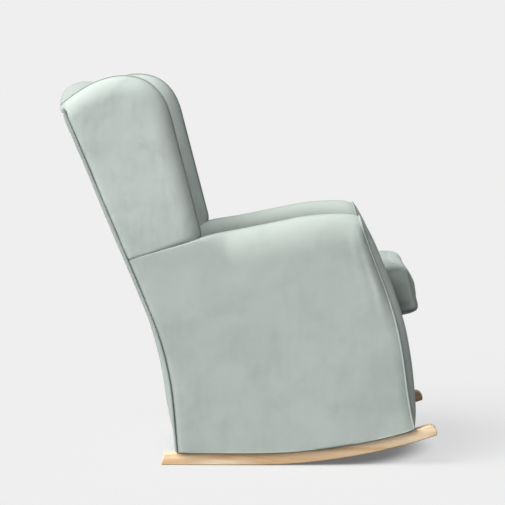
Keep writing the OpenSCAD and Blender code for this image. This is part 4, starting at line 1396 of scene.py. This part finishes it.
back_roll_h = 0.081
back_roll_side_h = 0.042
pad_rear = 0.0679
back_edge_r = 0.030
widening_z = 0.522
widening_h = 0.036
lumbar_z = 0.60
lumbar_swell = 0.008
# where the inside back meets the seat deck
deck_rear_f = solve(lambda f: f - (float(rear_f(deck_z(f))) + back_t), -0.4, 0.1)


def inside_back():
    n_face, n_roll, n_across = 90, 40, 90
    low = float(deck_z(deck_rear_f)) - 0.014
    z = np.linspace(low, post_top, n_face)
    step = ease((z - widening_z) / widening_h)
    width = arm_in + 0.004 + (wing_in - arm_in) * step
    across = 2 * uneven(n_across, 0.8) - 1
    x = np.outer(width, across)
    gap = width[:, None] * (1 - np.abs(across))[None]
    inside = np.clip(back_edge_r - gap, 0, back_edge_r)
    fall = back_edge_r - np.sqrt(np.maximum(back_edge_r ** 2 - inside ** 2, 0))
    stuffed = 0.016 * ease((z - 0.43) / 0.16)[:, None] * np.cos(quarter * across[None]) ** 0.7
    lumbar = lumbar_swell * np.exp(-((z - lumbar_z) / 0.09) ** 2)[:, None] * np.cos(quarter * across[None])
    face_f = rear_f(z)[:, None] + back_t + stuffed + lumbar - fall
    face = point(x, face_f, z[:, None])
    top_x = x[-1]
    rear_at_top = float(rear_f(post_top)) - bulge(top_x)
    front_at_top = face_f[-1]
    high = back_roll_h - (back_roll_h - back_roll_side_h) * (top_x / wing_in) ** 2 - 0.6 * fall[-1]
    turn = np.linspace(0, math.pi, n_roll)[1:, None]
    roll_f = (rear_at_top + front_at_top) / 2 + (front_at_top - rear_at_top) / 2 * np.cos(turn)
    roll = point(top_x[None], roll_f - back_lean * high * np.sin(turn), post_top + high * np.sin(turn))
    show = np.concatenate([face, roll])
    soft = ripple(show, 0.13, 0.0030, 9.4) + ripple(show, 0.05, 0.0008, 7.7)
    keep = np.ones(len(show))
    keep[-3:] = 0
    show = pushed(show, soft * keep[:, None], (0, rock_line + 0.25, 0.6))
    show[-1, :, 1] -= 0.005
    # the hidden side, over the posts' ends and down in front of the webbing
    shelf = point(top_x, float(rear_f(post_top)) + pad_rear, post_top + 0.0004)[None]
    hide_z = np.linspace(post_top - 0.001, low, 24)
    hide_w = np.interp(hide_z, z, width)
    hide = point(np.outer(hide_w, across), (rear_f(hide_z) + pad_rear)[:, None], hide_z[:, None])
    grid = np.concatenate([show, shelf, hide])
    mesh = quad_sheet("inside_back", grid, shut_rows=True, caps=True)
    # painted shade: the pile is darkened along both sides and at the seam with the outside back; the hidden
    # rows are marked fully
    side_press_and_shade = 0.5 * np.exp(-np.concatenate([gap, np.tile(gap[-1], (n_roll - 1, 1))]) / 0.006)
    end_press_and_shade = np.zeros(len(show))
    end_press_and_shade[-2:] = 0.6
    press_and_shade = side_press_and_shade + end_press_and_shade[:, None]
    mark_pressed_and_shaded(mesh, np.concatenate([press_and_shade, np.ones((1 + len(hide), n_across))]))
    return outward(mesh)


back_pad = smooth(put("inside_back_velvet", inside_back(), sage_velvet), math.radians(60))
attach(back_pad, "chair")
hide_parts("inner_back_pad", "back_top_pad")

# Seat deck and front apron --------------------------------------------------------
# Lining cloth over felt covers the springs under the loose cushion, and a velvet
# apron closes the chair between the arms, pulled over the front seat rail.

deck_t = 0.014
cover_t = 0.015
deck_edge_r = 0.006
apron_t = 0.004
apron_fold = 0.012
# where the deck meets the apron
deck_front_f = solve(lambda f: f - (float(front_f(deck_z(f))) - cover_t), 0.2, 0.5)


def seat_deck():
    rear = solve(lambda f: f - (float(rear_f(deck_z(f) - deck_t)) + back_t), -0.4, 0.1) + 0.0003
    t = uneven(60, 0.8)
    x = (arm_in - 0.0005) * (2 * uneven(60, 0.8) - 1)
    f = rear + (deck_front_f - rear) * t
    side_gap = arm_in - np.abs(x)
    end_gap = np.minimum(f - rear, deck_front_f - f)
    gap = np.minimum(side_gap[:, None], end_gap[None])
    inside = np.clip(deck_edge_r - gap, 0, deck_edge_r)
    fall = deck_edge_r - np.sqrt(np.maximum(deck_edge_r ** 2 - inside ** 2, 0))
    top = point(x[:, None], f[None], deck_z(f)[None] - 0.0004 - fall)
    base = point(x[::-1, None], f[None], deck_z(f)[None] - deck_t)
    return outward(quad_sheet("deck", np.concatenate([top, base]), shut_rows=True, caps=True))


lining = woven("deck_lining", (0.36, 0.40, 0.375), (0.22, 0.25, 0.235), 800)
deck = smooth(put("seat_deck_lining", seat_deck(), lining), math.radians(50))
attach(deck, "chair")
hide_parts("seat_deck")


def front_apron():
    top = float(deck_z(deck_front_f)) - 0.0005
    reach = arm_in + 0.0055
    x = reach * (2 * uneven(70, 0.7) - 1)
    z = arm_foot_z + (top - apron_fold - arm_foot_z) * uneven(56, 0.5)
    upwards = np.sin(math.pi * np.clip((z - z[0]) / (top - z[0]), 0, 1))
    crown = 0.004 * np.outer(upwards, 1 - (x / reach) ** 2)
    face = point(x[None], front_f(z)[:, None] - 0.0035 + crown, z[:, None])
    face = pushed(face, ripple(face, 0.12, 0.0014, 3.3), (0, rock_line, 0.2))
    turn = np.linspace(0, quarter, 8)[1:, None]
    over = point(x[None], float(front_f(top - apron_fold)) - 0.0035 - apron_fold * (1 - np.cos(turn)),
                 top - apron_fold + apron_fold * np.sin(turn))
    rear = point(x[None], np.array([[deck_front_f]]), np.array([[top]]))
    hem = face[:1] + np.array([0, 0.012, 0.0004])
    grid = np.concatenate([hem, face, over, rear])
    mesh = quad_sheet("apron", grid)
    gap = reach - np.abs(x)
    # painted shade: the pile is darkened towards both ends, where the apron meets the arms
    mark_pressed_and_shaded(mesh, np.tile(0.5 * np.exp(-gap / 0.006), (len(grid), 1)))
    return faced(mesh, -1)


apron = put("front_apron_velvet", front_apron(), sage_velvet)
thickened(apron, apron_t)
smooth(apron, math.radians(50))
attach(apron, "chair")
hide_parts("front_apron")

# Seat cushion -------------------------------------------------------------------
# A loose box cushion: one long velvet strip wraps from the zip over the top,
# round the full front edge and back underneath, sewn to two side panels. The
# foam core fills it so that it swells between its corners.

cushion_gap = 0.003
cushion_t = 0.130
nose_r = 0.038
edge_r = 0.014
cushion_half = arm_in - cushion_gap
cushion_top_z = float(deck_z(deck_rear_f)) + cushion_t * math.cos(seat_slope)
cushion_rear_f = max(float(rear_f(cushion_top_z)) + back_t + cushion_t * math.sin(seat_slope),
                     deck_rear_f) + 3 * cushion_gap
cushion_len = (cushion_front_f - cushion_rear_f) / math.cos(seat_slope)
cushion_base = (cushion_rear_f, float(deck_z(cushion_rear_f)) + 0.0003)
swell_start = 0.004
cushion_droop = 0.011
cushion_mesh_size = 0.0055
filling_pressure = 4.0
filling_frames = 20
most_swell = 0.013
seam_groove = 0.0022
seam_groove_w = 0.0038


def on_deck(x, s, h):
    """Places points given across, along the slope from the cushion's rear edge, and up from the deck."""
    f = cushion_base[0] + s * math.cos(seat_slope) - h * math.sin(seat_slope)
    z = cushion_base[1] + s * math.sin(seat_slope) + h * math.cos(seat_slope)
    return point(x, f, z)


def cushion_side(inset, count=9):
    """The side panel's outline as (s, h), drawn in by a distance, with its full upper front corner."""
    e = max(edge_r - inset, 0.004)
    nose = nose_r - inset
    a, b, c = inset, cushion_len - inset, cushion_t - inset
    corners = ((a + e, a + e, e, 180), (b - e, a + e, e, 270),
               (b - nose, c - nose, nose, 0), (a + e, c - e, e, 90))
    points = []
    for s, h, r, first in corners:
        for angle in np.radians(np.linspace(first, first + 90, count)):
            points.append((s + r * math.cos(angle), h + r * math.sin(angle)))
    return np.array(points)


def swollen(piece, pressure, frames, limit):
    """Blows a closed cloth up a little, as its filling would, then fixes its shape."""
    rest = np.array([v.co for v in piece.data.vertices])
    rest_normals = np.array([v.normal for v in piece.data.vertices])
    cloth = piece.modifiers.new("cloth", "CLOTH")
    cloth.settings.quality = 5
    cloth.settings.mass = 0.4
    cloth.settings.tension_stiffness = 14
    cloth.settings.compression_stiffness = 14
    cloth.settings.shear_stiffness = 8
    cloth.settings.bending_stiffness = 0.6
    cloth.settings.use_pressure = True
    cloth.settings.uniform_pressure_force = pressure
    cloth.settings.effector_weights.gravity = 0
    cloth.collision_settings.use_collision = False
    cloth.point_cache.frame_start = 1
    cloth.point_cache.frame_end = frames
    scene = bpy.context.scene
    for frame_number in range(1, frames + 1):
        scene.frame_set(frame_number)
    plain_mesh(piece)
    scene.frame_set(1)
    now = np.array([v.co for v in piece.data.vertices])
    move = now - rest
    # the filling keeps the corners from being drawn far in
    out = np.sum(move * rest_normals, axis=1, keepdims=True)
    move -= rest_normals * np.minimum(out, 0) * 0.75
    length = np.maximum(np.linalg.norm(move, axis=1, keepdims=True), 1e-9)
    now = rest + move * np.minimum(1, limit * np.tanh(length / limit) / length)
    return rest, now


def remeshed(piece, voxel):
    remesh = piece.modifiers.new("remesh", "REMESH")
    remesh.mode = "VOXEL"
    remesh.voxel_size = voxel
    return plain_mesh(piece)


def cushion_shape():
    """The cushion before it is filled, a little slimmer than its finished size."""
    outline = cushion_side(swell_start)
    ends = cushion_half - swell_start
    x = np.linspace(-ends, ends, 3)
    grid = np.stack([on_deck(x, s, h) for s, h in outline])
    mesh = outward(quad_sheet("cushion", grid, shut_rows=True, caps=True))
    piece = remeshed(put("seat_cushion_velvet", mesh), cushion_mesh_size)
    relax = piece.modifiers.new("relax", "SMOOTH")
    relax.factor = 0.5
    relax.iterations = 3
    return plain_mesh(piece)


def deck_frame(points):
    """Gives back across, along and up for points in the chair's frame."""
    f = rock_line - points[:, 1] - cushion_base[0]
    z = points[:, 2] - cushion_base[1]
    s = f * math.cos(seat_slope) + z * math.sin(seat_slope)
    h = -f * math.sin(seat_slope) + z * math.cos(seat_slope)
    return points[:, 0].copy(), s, h


def kept_between(points):
    """Keeps a filled cushion on the deck, between the arms and in front of the back."""
    x, s, h = deck_frame(points)
    f = rock_line - points[:, 1]
    free = ease((f - front_f(points[:, 2]) + 0.01) / 0.03)
    widest = cushion_half + 0.0015 + 0.008 * free
    x = np.clip(x, -widest, widest)
    s = np.maximum(s, 0.0002)
    # in front of the deck the filling droops
    droop = cushion_droop * ease((s - cushion_len + 0.095) / 0.045) * ease((0.09 - h) / 0.09)
    h = np.maximum(h, 0.0004) - droop
    return on_deck(x, s, h)


cushion = cushion_shape()
cushion_rest = np.array([v.co for v in cushion.data.vertices])
cushion_now = cushion_rest
cushion_rest, cushion_now = swollen(cushion, filling_pressure, filling_frames, most_swell)
cushion_now = kept_between(cushion_now)
cushion.data.vertices.foreach_set("co", cushion_now.astype(np.float32).reshape(-1))

# the side panels' seams, found on the slim shape and carried to the filled one
seam_outline = cushion_side(swell_start, 24)
seam_outline = along(np.concatenate([seam_outline, seam_outline[:1]]), np.linspace(0, 1, 700))
rest_x, rest_s, rest_h = deck_frame(cushion_rest)
seam_gap = np.hypot(gap_to(np.stack([rest_s, rest_h], axis=1), seam_outline),
                    cushion_half - swell_start - 0.004 - np.minimum(np.abs(rest_x), cushion_half))
rest_mark = cushion.data.attributes.new("seam_gap", "FLOAT", "POINT")
rest_mark.data.foreach_set("value", seam_gap.astype(np.float32))
side_mark = cushion.data.attributes.new("side_panel", "FLOAT", "POINT")
side_panel = ease((np.abs(rest_x) - cushion_half + swell_start + 0.006) / 0.005)
side_mark.data.foreach_set("value", side_panel.astype(np.float32))
foam_mesh = cushion.data.copy()
finer = cushion.modifiers.new("finer", "SUBSURF")
finer.levels = 1
finer.render_levels = 1
plain_mesh(cushion)


def sewn(piece, groove, width):
    """Pulls a seam into a piece, by each vertex's distance from it, and marks pressed pile and painted
    shade.
    """
    mesh = piece.data
    count = len(mesh.vertices)
    gap = np.zeros(count, np.float32)
    mesh.attributes["seam_gap"].data.foreach_get("value", gap)
    co = np.zeros(3 * count, np.float32)
    mesh.vertices.foreach_get("co", co)
    normals = np.zeros(3 * count, np.float32)
    mesh.vertex_normals.foreach_get("vector", normals)
    # the cloth stands a little proud beside the seam
    proud = 0.35 * groove * np.exp(-((gap - 2.2 * width) / width) ** 2)
    depth = groove * np.exp(-(gap / width) ** 2) - proud
    co = co.reshape(-1, 3) - normals.reshape(-1, 3) * depth[:, None]
    mesh.vertices.foreach_set("co", co.astype(np.float32).reshape(-1))
    panel = np.zeros(count, np.float32)
    mesh.attributes["side_panel"].data.foreach_get("value", panel)
    for spent in ("seam_gap", "side_panel"):
        mesh.attributes.remove(mesh.attributes[spent])
    # painted shade: the side panels are darkened all over, and the cloth beside the seams
    mark_pressed_and_shaded(mesh, 0.8 * np.exp(-gap / width) + 0.85 * panel)
    mesh.update()


sewn(cushion, seam_groove, seam_groove_w)
cushion.data.materials.clear()
cushion.data.materials.append(sage_velvet)
smooth(cushion)
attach(cushion, "cushion")
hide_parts("cushion_cover")

# Cushion foam ---------------------------------------------------------------------
# A block of foam sawn to the cover's shape, with its open cells on every face.
# It lies loose in the cover and goes in through the zip.

foam_inset = 0.0065


def foam_material():
    mat, tree, shader = new_material("cut_foam")
    where = tree.nodes.new("ShaderNodeTexCoord")
    cells = add(tree, "ShaderNodeTexVoronoi", Scale=700.0)
    tint = add(tree, "ShaderNodeTexNoise", Scale=18.0, Detail=3.0)
    link(tree, where.outputs["Object"], cells.inputs["Vector"])
    link(tree, where.outputs["Object"], tint.inputs["Vector"])
    tone = mixed(tree, tint.outputs["Fac"], (0.80, 0.72, 0.48, 1), (0.88, 0.83, 0.66, 1))
    link(tree, tone, shader.inputs["Base Color"])
    bumped(tree, shader, cells.outputs["Distance"], 0.0006)
    rough = ranged(tree, cells.outputs["Distance"], To_Min=0.85, To_Max=1.0)
    link(tree, rough, shader.inputs["Roughness"])
    return mat


def foam_core():
    """The cover's shape, drawn in all round by the gap between them."""
    mesh = foam_mesh
    for spent in ("seam_gap", "side_panel"):
        mesh.attributes.remove(mesh.attributes[spent])
    count = len(mesh.vertices)
    co = np.zeros(3 * count, np.float32)
    normals = np.zeros(3 * count, np.float32)
    mesh.vertices.foreach_get("co", co)
    mesh.vertex_normals.foreach_get("vector", normals)
    mesh.vertices.foreach_set("co", co - foam_inset * normals)
    piece = put("cushion_foam_block", mesh, foam_material())
    soft = piece.modifiers.new("soft", "SMOOTH")
    soft.factor = 0.5
    soft.iterations = 6
    return smooth(plain_mesh(piece))


foam = foam_core()
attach(foam, "cushion")
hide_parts("cushion_foam")

# Cushion zip ----------------------------------------------------------------------
# A nylon coil zip across the cushion's rear strip: two woven tapes, the coil's
# teeth between them, stitches along both edges, and a die-cast slider.

zip_len = 0.420
zip_h = 0.028
zip_mid = cushion_t / 2
zip_gap = 0.0016
tape_wave = 0.045
tooth_pitch = 0.0016


def rounded_bar(length, width, height, r):
    """A small bar with rounded long edges, as a mesh about the origin."""
    bm = bmesh.new()
    bmesh.ops.create_cube(bm, size=1.0)
    bmesh.ops.scale(bm, vec=(length, width, height), verts=bm.verts)
    bmesh.ops.bevel(bm, geom=bm.edges, offset=r, segments=2, affect="EDGES", profile=0.5)
    mesh = bpy.data.meshes.new("bar")
    bm.to_mesh(mesh)
    bm.free()
    return mesh


def add_row_tree():
    """Copies of one small piece, at an even spacing along a line."""
    tree, take, give = new_group("piece_row", "GeometryNodeTree",
                                 (("Geometry", "Geometry"), ("Spacing", "Float"), ("Piece", "Object"),
                                  ("Material", "Material")), (("Geometry", "Geometry"),))
    tree.is_modifier = True
    line = tree.nodes.new("GeometryNodeMeshToCurve")
    spaced = tree.nodes.new("GeometryNodeResampleCurve")
    spaced.mode = "LENGTH"
    shape = tree.nodes.new("GeometryNodeObjectInfo")
    tangent = tree.nodes.new("GeometryNodeInputTangent")
    turn = tree.nodes.new("FunctionNodeAlignRotationToVector")
    turn.axis = "X"
    placed = tree.nodes.new("GeometryNodeInstanceOnPoints")
    real = tree.nodes.new("GeometryNodeRealizeInstances")
    paint = tree.nodes.new("GeometryNodeSetMaterial")
    link(tree, take.outputs["Geometry"], line.inputs["Mesh"])
    link(tree, line.outputs[0], spaced.inputs["Curve"])
    link(tree, take.outputs["Spacing"], spaced.inputs["Length"])
    link(tree, take.outputs["Piece"], shape.inputs["Object"])
    link(tree, tangent.outputs[0], turn.inputs["Vector"])
    link(tree, spaced.outputs[0], placed.inputs["Points"])
    link(tree, shape.outputs["Geometry"], placed.inputs["Instance"])
    link(tree, turn.outputs[0], placed.inputs["Rotation"])
    link(tree, placed.outputs[0], real.inputs[0])
    link(tree, real.outputs[0], paint.inputs["Geometry"])
    link(tree, take.outputs["Material"], paint.inputs["Material"])
    link(tree, paint.outputs[0], give.inputs[0])
    return tree


row_tree = add_row_tree()


def nylon(name, colour):
    mat, tree, shader = new_material(name)
    where = tree.nodes.new("ShaderNodeTexCoord")
    tone = add(tree, "ShaderNodeTexNoise", Scale=260.0, Detail=3.0)
    link(tree, where.outputs["Object"], tone.inputs["Vector"])
    dyed = mixed(tree, tone.outputs["Fac"], (*(0.75 * c for c in colour), 1), (*colour, 1))
    link(tree, dyed, shader.inputs["Base Color"])
    rough = ranged(tree, tone.outputs["Fac"], To_Min=0.3, To_Max=0.5)
    link(tree, rough, shader.inputs["Roughness"])
    return mat


def zip_tapes():
    """Two strips with a narrow gap between them, as one closed mesh each."""
    bm = bmesh.new()
    for low, high in ((zip_mid - zip_h / 2, zip_mid - zip_gap / 2),
                      (zip_mid + zip_gap / 2, zip_mid + zip_h / 2)):
        h = np.linspace(low, high, 10)
        x = np.linspace(-zip_len / 2, zip_len / 2, 60)
        wave = 0.0003 * np.sin(x[None] * 2 * math.pi / tape_wave)
        wave = wave * np.sin(math.pi * (h[:, None] - low) / (high - low))
        front = on_deck(x[None], -0.0014 + wave, h[:, None])
        rear = on_deck(x[None], -0.0003 + wave, h[::-1, None])
        bm.from_mesh(quad_sheet("tape", np.concatenate([front, rear]), shut_rows=True, caps=True))
    mesh = bpy.data.meshes.new("tapes")
    bm.to_mesh(mesh)
    bm.free()
    return outward(mesh)


tape_cloth = woven("zip_tape", (0.40, 0.45, 0.42), (0.26, 0.30, 0.28), 1600, "Object")
tapes = smooth(put("zip_tapes", zip_tapes(), tape_cloth), math.radians(50))
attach(tapes, "cushion")
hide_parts("cushion_zip")

tooth = put("tooth", rounded_bar(0.0009, 0.0012, 0.0042, 0.0003))
tooth.data.transform(Matrix.Rotation(seat_slope, 4, "X"))
tooth_line = line_mesh("teeth", [on_deck(np.array([-0.5, 0.5]) * zip_len * 0.985, -0.0017, zip_mid)])
teeth = grown("zip_teeth", tooth_line, row_tree, Spacing=tooth_pitch, Piece=tooth,
              Material=nylon("coil_nylon", (0.42, 0.47, 0.44)))
bpy.data.objects.remove(tooth)
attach(teeth, "cushion")

stitch = put("stitch", rounded_bar(0.0026, 0.0006, 0.0006, 0.0002))
stitch_lines = [on_deck(np.array([-0.5, 0.5]) * zip_len * 0.99, -0.0016,
                        zip_mid + side * (zip_h / 2 - 0.003)) for side in (-1, 1)]
stitches = grown("zip_stitches", line_mesh("stitches", stitch_lines), row_tree, Spacing=0.0038,
                 Piece=stitch, Material=nylon("sewing_thread", (0.50, 0.56, 0.52)))
bpy.data.objects.remove(stitch)
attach(stitches, "cushion")

# Zip slider -----------------------------------------------------------------------
# A die-cast slider: two cheeks that hold the coil, the bridge over them, and a
# flat pull that hangs from the bridge.

slider_low, slider_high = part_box("zip_slider")
slider_x = (slider_low.x + slider_high.x) / 2


def bar_on_deck(bm, s, h, x, size, r):
    """Adds a rounded bar, its size given along the slope, up from the deck and across."""
    part = bmesh.new()
    bmesh.ops.create_cube(part, size=1.0)
    bmesh.ops.scale(part, vec=(size[2], size[0], size[1]), verts=part.verts)
    bmesh.ops.bevel(part, geom=part.edges, offset=r, segments=3, affect="EDGES", profile=0.5)
    bmesh.ops.rotate(part, cent=(0, 0, 0), matrix=Matrix.Rotation(-seat_slope, 3, "X"), verts=part.verts)
    place = on_deck(np.array(x), np.array(s), np.array(h))
    bmesh.ops.translate(part, vec=Vector(place), verts=part.verts)
    mesh = bpy.data.meshes.new("part")
    part.to_mesh(mesh)
    part.free()
    bm.from_mesh(mesh)


def zip_slider():
    body = (0.0014, 0.0085, 0.0120)
    cheek = (0.0026, 0.0012, 0.0100)
    bridge = (0.0012, 0.0018, 0.0110)
    post = (0.0022, 0.0018, 0.0014)
    pull = (0.0010, 0.0180, 0.0052)
    bm = bmesh.new()
    bar_on_deck(bm, -0.0030, zip_mid, slider_x, body, 0.0006)
    bar_on_deck(bm, -0.0030, zip_mid + 0.0036, slider_x - 0.001, cheek, 0.0004)
    bar_on_deck(bm, -0.0030, zip_mid - 0.0036, slider_x - 0.001, cheek, 0.0004)
    bar_on_deck(bm, -0.0052, zip_mid, slider_x, bridge, 0.0005)
    for end in (-1, 1):
        bar_on_deck(bm, -0.0043, zip_mid, slider_x + end * 0.0048, post, 0.0004)
    bar_on_deck(bm, -0.0062, zip_mid - 0.0090, slider_x + 0.001, pull, 0.0004)
    mesh = bpy.data.meshes.new("slider")
    bm.to_mesh(mesh)
    bm.free()
    return mesh


slider = smooth(put("zip_slider_cast", zip_slider(), zinc), math.radians(40))
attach(slider, "zip_pull")
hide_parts("zip_slider")
